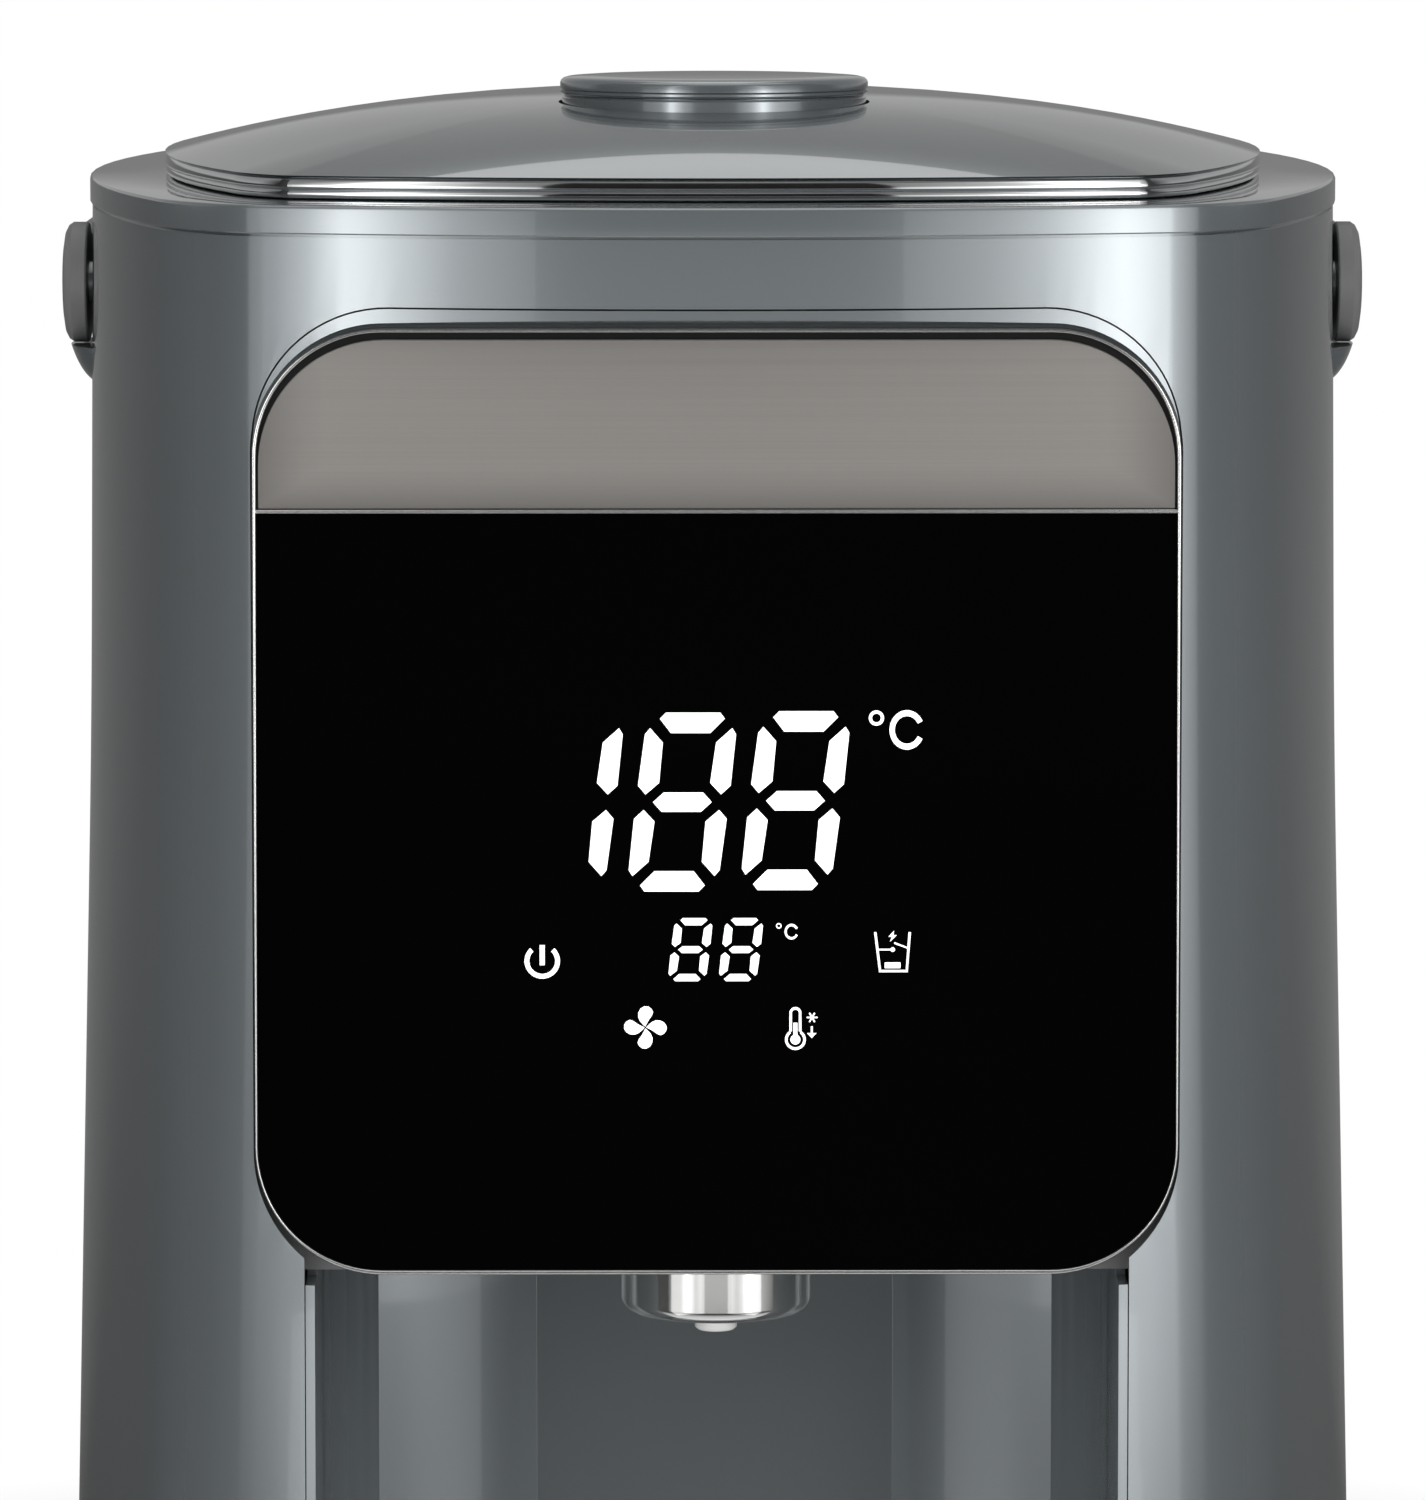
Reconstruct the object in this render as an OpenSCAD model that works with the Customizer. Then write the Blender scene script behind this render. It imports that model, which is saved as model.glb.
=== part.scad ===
// Electric thermo pot: a tall insulated vessel with a hinged lid, a swing
// handle, an electric pump and a spout over a cup bay.
// Millimetres, +Z up, front towards -Y, origin under the middle of the pot.

/* [Body outline] */
// Distance from the origin to the front of the collar
body_front = 151; // [150:0.5:152]
// Radius of the wide front face
front_r = 270; // [266:1:274]
// Radius of the tight front corners
front_corner_r = 20; // [18:1:22]
// Radius of the flanks behind the front corners
flank_r = 56; // [54:1:58]
// Radius of the nearly flat sides
side_r = 370; // [366:1:374]
// Radius of the rear corners
rear_corner_r = 54; // [52:1:56]
// Height of the top face of the collar
collar_z = 330; // [329:0.5:331]
// Wall thickness of the outer shell
shell_wall = 2.5; // [2:0.1:3]

/* [Control panel] */
// Width of the panel over its bezel
panel_w = 167; // [164:0.5:168]
// Height of the panel over its bezel
panel_h = 171.4; // [169:0.2:172]
// Corner radius of the panel
panel_r = 23.3; // [22:0.1:24]
// Height of the panel's top edge
panel_top_z = 308; // [307:0.5:309]
// Backward lean of the panel
panel_tilt = 1.3; // [1:0.1:1.5]
// Height of the metal header plate
header_h = 32.6; // [30:0.2:34]

/* [Cup bay] */
// Half the width of the bay between its side walls
bay_half_w = 72.7; // [71:0.1:73]
// Height of the bay's ceiling
bay_top_z = 150; // [149:0.5:152]
// Height of the deck under the cup
deck_z = 22; // [21:0.5:23]
// Radius of the chrome nozzle
nozzle_r = 17.5; // [17:0.1:18]
// Height of the nozzle's lower rim
nozzle_z = 125.3; // [125:0.1:127]

/* [Lid] */
// Height of the chrome ring round the lid
trim_h = 4.3; // [4:0.1:4.6]
// Rise of the dome above the chrome ring
dome_rise = 11.8; // [11.4:0.1:12.2]
// Radius of the lid button
button_r = 29; // [28:0.5:30]
// Height of the button's top face
button_top_z = 350.4; // [350:0.1:351]
// Travel of the lid button
button_travel = 2.5; // [2:0.1:2.6]

/* [Vessel] */
// Outer radius of the inner pot
pot_r = 88; // [86:0.5:88]
// Height of the inner pot's floor
pot_floor_z = 62; // [62:0.5:64]

/* [Handle] */
// Overall width over the handle ends
handle_w = 254.2; // [253.8:0.1:254.6]
// Radius of the round handle ends
handle_end_r = 11.75; // [11.5:0.05:12]
// Height of the handle pivots
pivot_z = 308; // [307.5:0.5:308.5]

/* [Hidden] */
$fn = 64;
eps = 0.01;

// Outline of the body: tangent arcs, each given by its radius and the angle
// of the outward normal, counted from the front, at which it ends
arc_r = [front_r, front_corner_r, flank_r, side_r, rear_corner_r];
arc_end = [17.5, 46.5, 71.5, 104, 158.5, 180];
arc_steps = [4, 5, 4, 4, 6, 3];
function normal_at(a) = [sin(a), -cos(a)];
function arc_centre(i) = i == 0 ? [0, front_r]
    : arc_centre(i - 1) + (arc_radius(i - 1) - arc_radius(i)) * normal_at(arc_end[i - 1]);
function arc_radius(i) = i < 5 ? arc_r[i] : arc_r[4] + arc_centre(4).x / sin(arc_end[4]);
function arc_start(i) = i == 0 ? 0 : arc_end[i - 1];
function arc_point(i, k, inset) =
    let (a = arc_start(i) + (arc_end[i] - arc_start(i)) * k / arc_steps[i])
    arc_centre(i) + (arc_radius(i) - inset) * normal_at(a) - [0, body_front];
function right_half(inset) =
    [for (i = [0:5], k = [0:arc_steps[i] - 1]) arc_point(i, k, inset)];
function plan(inset) = let (half = right_half(inset), n = len(half)) concat(
    half, [arc_point(5, arc_steps[5], inset)],
    [for (k = [n - 1:-1:1]) [-half[k].x, half[k].y]]);

// Draft of the body: the outline's scale at a height, slight above and
// stronger below, with a soft change between the two
seam_z = collar_z - 5.6;
seam_step = 0.0035;
seam_gap = 0.5;
upper_draft = 0.000091;
lower_draft = 0.000115;
draft_z = 224;
draft_blend = 24;
function eased(u, w) = u < -w ? 0 : u > w ? u : (u + w) * (u + w) / (4 * w);
function draft(z) = 1 - seam_step + upper_draft * (seam_z - z)
    + lower_draft * eased(draft_z - z, draft_blend);
function body_ring(inset, z) = [for (p = plan(inset)) [p.x * draft(z), p.y * draft(z), z]];

foot_h = 3;
floor_z = foot_h + 4;
base_top_z = 20;
shell_levels = [base_top_z, 120, 200, 212, 236, 248, seam_z];
body_half_w = arc_centre(3).x + side_r;
rear_y = arc_centre(5).y + arc_radius(5) - body_front;

// Lid outline: the body's outline drawn in and shortened towards the middle
lid_inset = 14.6;
lid_shorten = 0.94;
lid_mid_y = -4.5;
function lid_plan(inset) =
    [for (p = plan(lid_inset + inset))
        [p.x, (p.y - (rear_y - body_front) / 2) * lid_shorten + lid_mid_y]];
lid_gap = 0.1;
lid_z = collar_z + lid_gap;
lid_well_inset = 3;
tray_inset = 5;
deck_under_lid_z = collar_z - 12;
dome_z = lid_z + trim_h;
dome_power = 2.8;
dome_crest_y = -25;
dome_stretch = 0.8;
button_y = -58;
hinge_y = 130;
hinge_z = 336;
pin_r = 2;

pot_y = 32;
pot_wall = 0.8;
mouth_r = 80;
plug_r = 77;
flange_z = deck_under_lid_z - 4.5;
heater_r = 58;

bay_back_y = -77;
bay_flat = 33.7;
swell_r = 156;
swell_from = 30.5;
swell_to = 18.5;
corner_from = 40;
bay_wall = 1.9;
nozzle_y = -115;
tub_y = -141;
tub_r = 68.6;

pump_at = [-42, -28];
riser_at = [-50, -62];
hose_r = 5.5;
hose_bore = 4;
hose_bend = 14;
riser_top_z = 166;
spout_top_z = bay_top_z + 4;
spout_run = norm([riser_at.x, riser_at.y - nozzle_y]);
spout_turn = atan2(nozzle_y - riser_at.y, -riser_at.x);

rod_places = [[88, -40], [-88, -40], [78, 97], [-78, 97]];
fan_at = [18, 55];
inlet_z = 44;

glass_t = 2;
surround_back = 4.5;
board_y = 10;
panel_top_y = -137.9;
body_paint = "#6d7274";
dark_plastic = "#3b3d3f";
chrome = "#d8dadc";
steel = "#b9bcbe";

// ---- shared shapes ----

// Solid through a stack of rings that hold the same number of points
module loft(rings) {
    n = len(rings[0]);
    m = len(rings);
    polyhedron(
        points = [for (ring = rings) each ring],
        faces = concat(
            [[for (i = [0:n - 1]) i]],
            [for (j = [0:m - 2], i = [0:n - 1])
                [j * n + i, (j + 1) * n + i, (j + 1) * n + (i + 1) % n, j * n + (i + 1) % n]],
            [[for (i = [n - 1:-1:0]) (m - 1) * n + i]]));
}

module body_loft(inset, levels) {
    loft([for (z = levels) body_ring(inset, z)]);
}

module slab(z0, z1) {
    translate([0, 0, z0]) linear_extrude(z1 - z0) children();
}

module tube(z0, z1, r_out, r_in) {
    translate([0, 0, z0]) difference() {
        cylinder(h = z1 - z0, r = r_out);
        translate([0, 0, -1]) cylinder(h = z1 - z0 + 2, r = r_in);
    }
}

module rod(z0, z1, r) {
    translate([0, 0, z0]) cylinder(h = z1 - z0, r = r);
}

module block(low, high) {
    translate(low) cube(high - low);
}

module rounded(w, h, r) {
    square([w, h - 2 * r], center = true);
    square([w - 2 * r, h], center = true);
    for (x = [-1, 1], y = [-1, 1])
        translate([x * (w / 2 - r), y * (h / 2 - r)]) circle(r);
}

// Panel parts are drawn in the panel's own plane: z down from its top edge,
// y back from the face of the glass
module on_panel() {
    translate([0, panel_top_y, panel_top_z]) rotate([-panel_tilt, 0, 0]) children();
}

module upright(y0, y1) {
    translate([0, y1, 0]) rotate([90, 0, 0]) linear_extrude(y1 - y0) children();
}

module panel_outline(inset) {
    translate([0, -panel_h / 2])
        rounded(panel_w - 2 * inset, panel_h - 2 * inset, panel_r - inset);
}

// ---- body ----

// Plan of the cup bay with its walls moved out by a margin: a flat back between
// two swells, each given by the turns at its ends, then round corners and
// straight sides
function swell_point(a) = [bay_flat + swell_r * (sin(swell_from) - sin(a)),
    bay_back_y + swell_r * (cos(swell_from) - cos(a))];
bay_corner_r = (bay_half_w - swell_point(swell_to).x) / (1 - sin(corner_from));
function corner_point(a) = swell_point(swell_to)
    + bay_corner_r * [sin(a) - sin(corner_from), cos(a) - cos(corner_from)];

module bay_plan(grow) {
    front_y = -190;
    half = concat(
        [for (k = [0:4]) swell_point(swell_from + (swell_to - swell_from) * k / 4)],
        [for (k = [1:5]) corner_point(corner_from + (90 - corner_from) * k / 5)],
        [[bay_half_w, front_y]]);
    offset(delta = grow) polygon(concat(
        half, [for (k = [len(half) - 1:-1:0]) [-half[k].x, half[k].y]]));
}

module panel_pocket() {
    pocket_draft = 1.6;
    pocket_depth = 14;
    on_panel() hull() {
        upright(-1, 3) panel_outline(-0.3);
        upright(-pocket_depth, -pocket_depth + 1)
            translate([0, -panel_h / 2])
                rounded(panel_w + 0.6, panel_h + 2 * pocket_draft, panel_r);
    }
    on_panel() upright(-1, 20) panel_outline(-0.3);
}

module outer_shell() {
    vent_pitch = 7;
    color(body_paint) difference() {
        union() {
            difference() {
                body_loft(0, shell_levels);
                loft([for (z = concat([base_top_z - 1], shell_levels, [seam_z + 1]))
                    body_ring(shell_wall, z)]);
            }
            // Thick moulded surround that the panel sits in
            intersection() {
                body_loft(0, shell_levels);
                on_panel() upright(-20, surround_back) translate([0, -panel_h / 2])
                    square([182, panel_h + 16], center = true);
            }
        }
        panel_pocket();
        slab(base_top_z - 1, bay_top_z + 4) bay_plan(bay_wall);
        block([-21, rear_y - 8, inlet_z - 13.5], [21, rear_y + 12, inlet_z + 13.5]);
        for (s = [-1, 1]) translate([s * body_half_w, 0, pivot_z])
            rotate([0, 90, 0]) cylinder(h = 30, r = 4, center = true);
        for (k = [-3:3]) block([k * vent_pitch - 1.2, rear_y - 8, 76],
            [k * vent_pitch + 1.2, rear_y + 12, 96]);
    }
}

module bay_liner() {
    head_back_y = -134.5;
    color(body_paint) intersection() {
        body_loft(0, [deck_z, 120, bay_top_z + 2]);
        difference() {
            slab(deck_z, bay_top_z + 2) bay_plan(bay_wall);
            slab(deck_z - 1, bay_top_z) bay_plan(0);
            translate([0, nozzle_y]) rod(bay_top_z - 1, bay_top_z + 3, nozzle_r + 0.1);
            block([-90, -180, panel_top_z - panel_h - 1.5], [90, head_back_y, bay_top_z + 3]);
        }
    }
}

module base_pan() {
    color(dark_plastic) difference() {
        union() {
            difference() {
                loft([body_ring(2, foot_h), body_ring(0, foot_h + 2), body_ring(0, base_top_z)]);
                body_loft(3, [floor_z, base_top_z + 1]);
            }
            // Lip that locates the shell, open at the cup bay
            difference() {
                body_loft(shell_wall + 0.2, [base_top_z - 3, base_top_z + 5]);
                body_loft(shell_wall + 2, [base_top_z - 4, base_top_z + 6]);
                slab(base_top_z - 4, base_top_z + 6) bay_plan(bay_wall + 0.1);
            }
            for (p = rod_places) translate(p) rod(floor_z - 1, base_top_z, 6);
        }
        // Opening over the fan, and the rebate for its cover
        translate(fan_at) rod(foot_h - 1, floor_z + 1, 46);
        translate(fan_at) rod(foot_h - 1, foot_h + 2, 50.3);
        for (p = rod_places) translate(p) {
            rod(foot_h - 1, base_top_z + 1, 2);
            rod(foot_h - 1, foot_h + 3, 5);
        }
        for (a = cover_screw_angles) translate(cover_screw_at(a)) rod(foot_h, floor_z + 1, 1);
    }
}

// Round plan of the tub with a flat rear, drawn in by a margin
module tub_plan(inset) {
    back_gap = 4;
    translate([0, tub_y]) intersection() {
        circle(tub_r - inset);
        translate([-tub_r, -tub_r])
            square([2 * tub_r, tub_r + bay_back_y - back_gap - inset - tub_y]);
    }
}

// Deck under the cup, with the pocket for the drip tray
module tray_tub() {
    tub_floor_z = 10;
    color(body_paint) difference() {
        intersection() {
            union() {
                body_loft(3.1, [floor_z, base_top_z + 1]);
                body_loft(1, [base_top_z, deck_z]);
            }
            slab(floor_z, deck_z) bay_plan(bay_wall - 0.1);
        }
        intersection() {
            body_loft(5, [tub_floor_z, deck_z + 1]);
            slab(tub_floor_z, deck_z + 1) tub_plan(0);
        }
    }
}

cover_screw_angles = [40, 160, 280];
function cover_screw_at(a) = fan_at + 48 * [cos(a), sin(a)];

module bottom_cover() {
    color(dark_plastic) difference() {
        translate(fan_at) rod(foot_h, foot_h + 2, 50);
        for (k = [-4:4]) translate([fan_at.x, fan_at.y + k * 5.6])
            block([-22 + abs(k) * 1.5, -1.3, foot_h - 1], [22 - abs(k) * 1.5, 1.3, foot_h + 3]);
        for (a = cover_screw_angles) translate(cover_screw_at(a)) rod(foot_h - 1, foot_h + 3, 1);
    }
}

module cover_screws() {
    color(steel) for (a = cover_screw_angles) translate(cover_screw_at(a)) {
        rod(foot_h - 0.9, foot_h, 1.9);
        rod(foot_h, foot_h + 3.9, 1);
    }
}

module feet() {
    foot_places = [[78, -104], [-78, -104], [58, 122], [-58, 122], [0, -140]];
    color("#2a2a2a") for (p = foot_places) translate(p) rod(0, foot_h, 9);
}

module tie_rods() {
    color(steel) for (p = rod_places) translate(p) {
        rod(foot_h + 1, foot_h + 3, 4.2);
        rod(foot_h + 3, deck_under_lid_z - 1, 2);
    }
}

// ---- collar, hinge and latch ----

module top_collar() {
    wall = 2.5;
    color(body_paint) difference() {
        union() {
            difference() {
                union() {
                    slab(seam_z + seam_gap, collar_z) polygon(plan(0));
                    slab(seam_z, collar_z - 1) polygon(plan(1.2));
                    slab(seam_z - 6.4, collar_z - 1) polygon(plan(3.4));
                }
                slab(seam_z - 8, collar_z - 3) polygon(plan(5.4));
                slab(seam_z - 8, collar_z + 1) polygon(lid_plan(lid_well_inset));
            }
            slab(deck_under_lid_z - 3, collar_z - 2) difference() {
                polygon(lid_plan(lid_well_inset - wall));
                polygon(lid_plan(lid_well_inset));
            }
            slab(deck_under_lid_z - 3, deck_under_lid_z) polygon(lid_plan(lid_well_inset - wall));
            for (p = rod_places) translate(p) rod(deck_under_lid_z - 10, deck_under_lid_z - 1, 5);
        }
        for (p = rod_places) translate(p) rod(deck_under_lid_z - 11, deck_under_lid_z - 1, 2);
        translate([0, pot_y]) rod(deck_under_lid_z - 4, deck_under_lid_z + 1, mouth_r);
        // Seat of the latch keeper
        block([-10.2, -129.7, 321.8], [10.2, -120, collar_z + 1]);
    }
}

module latch_keeper() {
    color(steel) difference() {
        block([-10.1, -129.6, 321.9], [10.1, -127.4, collar_z - 0.2]);
        block([-7.5, -129.3, 324], [7.5, -126, collar_z + 1]);
    }
}

module along_x(x0, x1, r) {
    translate([x0, hinge_y, hinge_z]) rotate([0, 90, 0]) cylinder(h = x1 - x0, r = r);
}

module hinge_block() {
    color(dark_plastic) for (s = [-1, 1]) difference() {
        union() {
            translate([s * 24.5, 0, 0]) along_x(-5.2, 5.2, 5.5);
            block([s * 24.5 - 5.2, hinge_y - 5.5, collar_z], [s * 24.5 + 5.2, hinge_y + 5.5, hinge_z]);
        }
        along_x(-40, 40, pin_r);
    }
}

module hinge_pin() {
    color(steel) along_x(-31, 31, pin_r);
}

// ---- lid ----

// The dome's level lines are the lid's outline drawn in about the crest, to a
// share u of its width and somewhat less of its length
function dome_height(u) = dome_rise * (1 - pow(u, dome_power));
function dome_ring(u, inset, drop) = let (v = pow(u, dome_stretch))
    [for (p = lid_plan(inset)) [p.x * u, (p.y - dome_crest_y) * v + dome_crest_y,
        dome_z + dome_height(u) - drop]];
dome_steps = [1, 0.94, 0.87, 0.78, 0.67, 0.54, 0.38, 0.2];

module dome(inset, drop, floor) {
    loft(concat([[for (p = lid_plan(inset)) [p.x, p.y, floor]]],
        [for (u = dome_steps) dome_ring(u, inset, drop)]));
}

skirt_z = lid_z + 1.4;
lid_floor_z = deck_under_lid_z + 2.2;
screw_top_z = 336;
lid_screw_places = [[60, -96], [-60, -96], [88, -10], [-88, -10]];
button_under_z = 341.6;
parting_z = button_top_z - 3.6;
stem_end_z = 333;
well_floor_z = button_under_z - button_travel - 0.7;
well_r = button_r + 0.3;
stem_r = 6.5;

module lid_cover() {
    pad_t = 2.6;
    well_wall = 1.6;
    boss_top_z = 338.2;
    slot_pitch = 5;
    color(body_paint) difference() {
        union() {
            difference() {
                union() {
                    dome(0, 0, dome_z - eps);
                    slab(skirt_z, dome_z) polygon(lid_plan(2.2));
                }
                // Hollow, which leaves the wall and the floor of the button's well
                difference() {
                    dome(4.2, 2.4, skirt_z - 1);
                    translate([0, button_y]) rod(well_floor_z - pad_t, 360, well_r + well_wall);
                }
            }
            for (p = lid_screw_places) translate(p) rod(lid_floor_z + 2, boss_top_z, 3.5);
            // Hinge arm and knuckle
            along_x(-18.8, 18.8, 5);
            block([-18.8, 112, dome_z + 0.2], [18.8, hinge_y, hinge_z + 3]);
        }
        translate([0, button_y]) {
            rod(well_floor_z, 360, well_r);
            rod(330, 360, stem_r + 0.3);
        }
        along_x(-40, 40, pin_r + 0.05);
        for (p = lid_screw_places) translate(p) rod(lid_floor_z + 1, screw_top_z, 1.5);
        // Steam slots over the vent
        for (k = [-2:2]) block([abs(k) * 2 - 16, 73 + k * slot_pitch, dome_z],
            [16 - abs(k) * 2, 75 + k * slot_pitch, 350]);
    }
}

module lid_trim() {
    color(chrome) slab(lid_z, dome_z - eps) difference() {
        polygon(lid_plan(0));
        polygon(lid_plan(2.2));
    }
}

module lid_liner() {
    wall = 2;
    plug_floor_z = deck_under_lid_z - 9;
    rail_z = bolt_z - bolt_t / 2;
    wall_scale = 0.98;
    tray_hollow = [for (p = lid_plan(tray_inset))
        [p.x * wall_scale, (p.y - lid_mid_y) * wall_scale + lid_mid_y]];
    color("#c9cbca") difference() {
        union() {
            slab(lid_floor_z, lid_z + 0.5) polygon(lid_plan(tray_inset));
            slab(lid_z, skirt_z) polygon(lid_plan(2.3));
            translate([0, pot_y]) rod(plug_floor_z, lid_floor_z + 1, plug_r);
        }
        difference() {
            slab(lid_floor_z + wall, skirt_z + 1) polygon(tray_hollow);
            // Rails and rest of the latch bolt
            for (s = [-1, 1]) block([s * 14.4 - 1.2, -98, lid_floor_z],
                [s * 14.4 + 1.2, -50, rail_z + bolt_t]);
            block([-7, -114, lid_floor_z], [7, -104, rail_z]);
            block([-13.2, -78, lid_floor_z], [13.2, -70, rail_z]);
        }
        translate([0, pot_y]) rod(plug_floor_z + wall, skirt_z, plug_r - wall);
        vent_at() rod(plug_floor_z - 1, plug_floor_z + wall + 1, 3);
        for (p = lid_screw_places) translate(p) rod(lid_floor_z - 1, lid_floor_z + 3, 1.5);
        // Slot that the latch bolt passes through
        block([-7.2, -135, rail_z - 0.2], [7.2, -118, rail_z + bolt_t + 0.2]);
    }
}

module vent_at() {
    translate([0, 74]) children();
}

module lid_gasket() {
    color("#e4e2dc") translate([0, pot_y])
        tube(deck_under_lid_z + 0.1, deck_under_lid_z + 2.2, mouth_r + 4, mouth_r + 0.6);
}

module lid_screws() {
    color(steel) for (p = lid_screw_places) translate(p) {
        rod(lid_floor_z - 1.2, lid_floor_z, 3);
        rod(lid_floor_z, screw_top_z, 1.5);
    }
}

module vent_tube() {
    color("#c9cbca") vent_at() tube(deck_under_lid_z - 7, 337, 9, 6.5);
}

module vent_float() {
    color("#e4e2dc") vent_at() {
        rod(deck_under_lid_z - 6.9, deck_under_lid_z - 4, 5);
        rod(deck_under_lid_z - 12, deck_under_lid_z - 6.9, 2.6);
    }
}

module lid_button() {
    edge = 1.2;
    color(body_paint) translate([0, button_y]) rotate_extrude() polygon([
        [0, parting_z], [button_r, parting_z], [button_r, button_top_z - edge - 0.5],
        [button_r - edge, button_top_z - 0.3], [button_r - 4, button_top_z], [0, button_top_z]]);
}

// Lower part of the button, its stem and the wedge that moves the latch
wedge_slope = 1.4;
bolt_z = 326;
bolt_t = 3;
wedge_rear_y = -52.3;
wedge_front_y = -61.8;
wedge_low_z = 325;
wedge_high_z = 329.4;
function wedge_y(z) = wedge_rear_y + (z - bolt_z) * wedge_slope;

module button_skirt() {
    color(body_paint) translate([0, button_y]) {
        rod(button_under_z, parting_z, button_r - 0.3);
        rod(stem_end_z, button_under_z + eps, stem_r);
    }
    color(dark_plastic) translate([7, 0, 0]) rotate([0, -90, 0]) linear_extrude(14)
        polygon([[wedge_low_z, wedge_front_y], [wedge_low_z, wedge_y(wedge_low_z)],
            [wedge_high_z, wedge_y(wedge_high_z)], [stem_end_z, wedge_y(wedge_high_z)],
            [stem_end_z, wedge_front_y]]);
}

module button_spring() {
    color(steel) translate([0, button_y]) tube(well_floor_z, button_under_z, 12.8, 11.6);
}

module latch_bolt() {
    window_front_y = -66;
    rear_y = -44;
    window_gap = 0.3;
    low_z = bolt_z - bolt_t / 2;
    high_z = bolt_z + bolt_t / 2;
    color(steel) difference() {
        union() {
            block([-7, -129.1, low_z], [7, -100, high_z]);
            block([-13, -100, low_z], [13, rear_y, high_z]);
        }
        translate([8, 0, 0]) rotate([0, -90, 0]) linear_extrude(16) polygon([
            [low_z - 1, window_front_y], [low_z - 1, wedge_y(low_z - 1) + window_gap],
            [high_z + 1, wedge_y(high_z + 1) + window_gap], [high_z + 1, window_front_y]]);
    }
}

// ---- vessel and heating ----

module inner_pot() {
    color("#cfd2d4") translate([0, pot_y]) difference() {
        union() {
            rotate_extrude() polygon([
                [0, pot_floor_z], [pot_r - 4, pot_floor_z], [pot_r, pot_floor_z + 4],
                [pot_r, flange_z - 1], [pot_r + 4, flange_z - 1], [pot_r + 4, flange_z],
                [pot_r - pot_wall, flange_z], [pot_r - pot_wall, pot_floor_z + 4.4],
                [pot_r - 4.4, pot_floor_z + pot_wall], [0, pot_floor_z + pot_wall]]);
            translate([pump_at.x, pump_at.y - pot_y]) rod(pot_floor_z - 6, pot_floor_z + eps, 5.2);
        }
        translate([pump_at.x, pump_at.y - pot_y])
            rod(pot_floor_z - 7, pot_floor_z + 5, hose_bore);
    }
}

module pot_seal() {
    color("#e4e2dc") translate([0, pot_y]) tube(flange_z, deck_under_lid_z - 3, pot_r + 4, mouth_r);
}

module insulation_sleeve() {
    color("#d9d6cc") translate([0, pot_y]) tube(pot_floor_z + 8, flange_z - 14, pot_r + 6, pot_r);
}

module heater_plate() {
    color("#a9adb0") translate([0, pot_y]) {
        tube(pot_floor_z - 3, pot_floor_z, heater_r, 6);
        translate([0, 0, pot_floor_z - 6]) rotate_extrude() translate([heater_r - 12, 0])
            square([8, 3]);
    }
}

module heater_clamp() {
    color(steel) translate([0, pot_y]) {
        tube(pot_floor_z - 7.2, pot_floor_z - 6, heater_r - 2, heater_r - 22);
        for (a = [90:120:330]) rotate(a) translate([heater_r - 18, 0])
            rod(pot_floor_z - 6, pot_floor_z - 3, 2);
    }
}

module thermostats() {
    color("#e8e4da") for (s = [-1, 1]) translate([s * 22, pot_y]) {
        rod(pot_floor_z - 8, pot_floor_z - 3, 8);
        for (t = [-1, 1]) block([t * 4 - 2, -0.4, pot_floor_z - 14], [t * 4 + 2, 0.4, pot_floor_z - 8]);
    }
}

module temperature_probe() {
    color(chrome) translate([0, pot_y]) rod(pot_floor_z - 12, pot_floor_z, 3.5);
}

// ---- pump and water path ----

module at_pump() {
    translate(pump_at) children();
}

motor_z = 7;
motor_top_z = 28;
housing_top_z = 46;
shaft_r = 1.5;

module pump_motor() {
    color(steel) at_pump() difference() {
        rod(motor_z, motor_top_z, 16);
        rod(motor_z + 2, motor_top_z - 2, 14);
        rod(motor_z + 1, motor_top_z + 1, shaft_r + 0.05);
    }
}

module motor_rotor() {
    color("#8a8d90") at_pump() {
        rod(motor_z + 4, motor_top_z - 4, 11);
        rod(motor_z + 1.5, 38.5, shaft_r);
    }
}

module pump_impeller() {
    color("#e4e2dc") at_pump() difference() {
        union() {
            rod(32, 34, 13);
            rod(32, 39.5, 4);
            for (a = [0:60:300]) rotate(a) block([2, -0.8, 33], [12.5, 0.8, 38.5]);
        }
        rod(31, 38.5, shaft_r);
    }
}

module pump_housing() {
    reach = riser_at - pump_at;
    color(dark_plastic) difference() {
        union() {
            at_pump() rod(motor_top_z, housing_top_z, 20);
            at_pump() rod(housing_top_z, housing_top_z + 5, hose_bore + 1.2);
            at_pump() rotate(atan2(reach.y, reach.x))
                block([10, -5.5, motor_top_z + 2], [norm(reach), 5.5, housing_top_z - 4]);
            translate(riser_at) rod(motor_top_z + 2, housing_top_z, 7);
            translate(riser_at) rod(housing_top_z, housing_top_z + 5, hose_bore);
        }
        at_pump() rod(31, housing_top_z - 4, 16);
        at_pump() rod(motor_top_z - 1, 32, shaft_r + 0.05);
        at_pump() rod(housing_top_z - 5, housing_top_z + 6, hose_bore - 1);
        at_pump() rotate(atan2(reach.y, reach.x))
            translate([12, 0, 37]) rotate([0, 90, 0]) cylinder(h = norm(reach) - 12, r = 2.4);
        translate(riser_at) rod(33, housing_top_z + 6, hose_bore - 1);
    }
}

module pot_outlet_hose() {
    color("#d9d6cc") at_pump() tube(housing_top_z, pot_floor_z - 0.2, 7.4, hose_bore + 1.2);
}

// Water path above the riser, in its own vertical plane
module at_riser() {
    translate([riser_at.x, riser_at.y, 0]) rotate(spout_turn) children();
}

module hose_section(bore) {
    difference() {
        circle(hose_r);
        circle(bore);
    }
}

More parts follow.
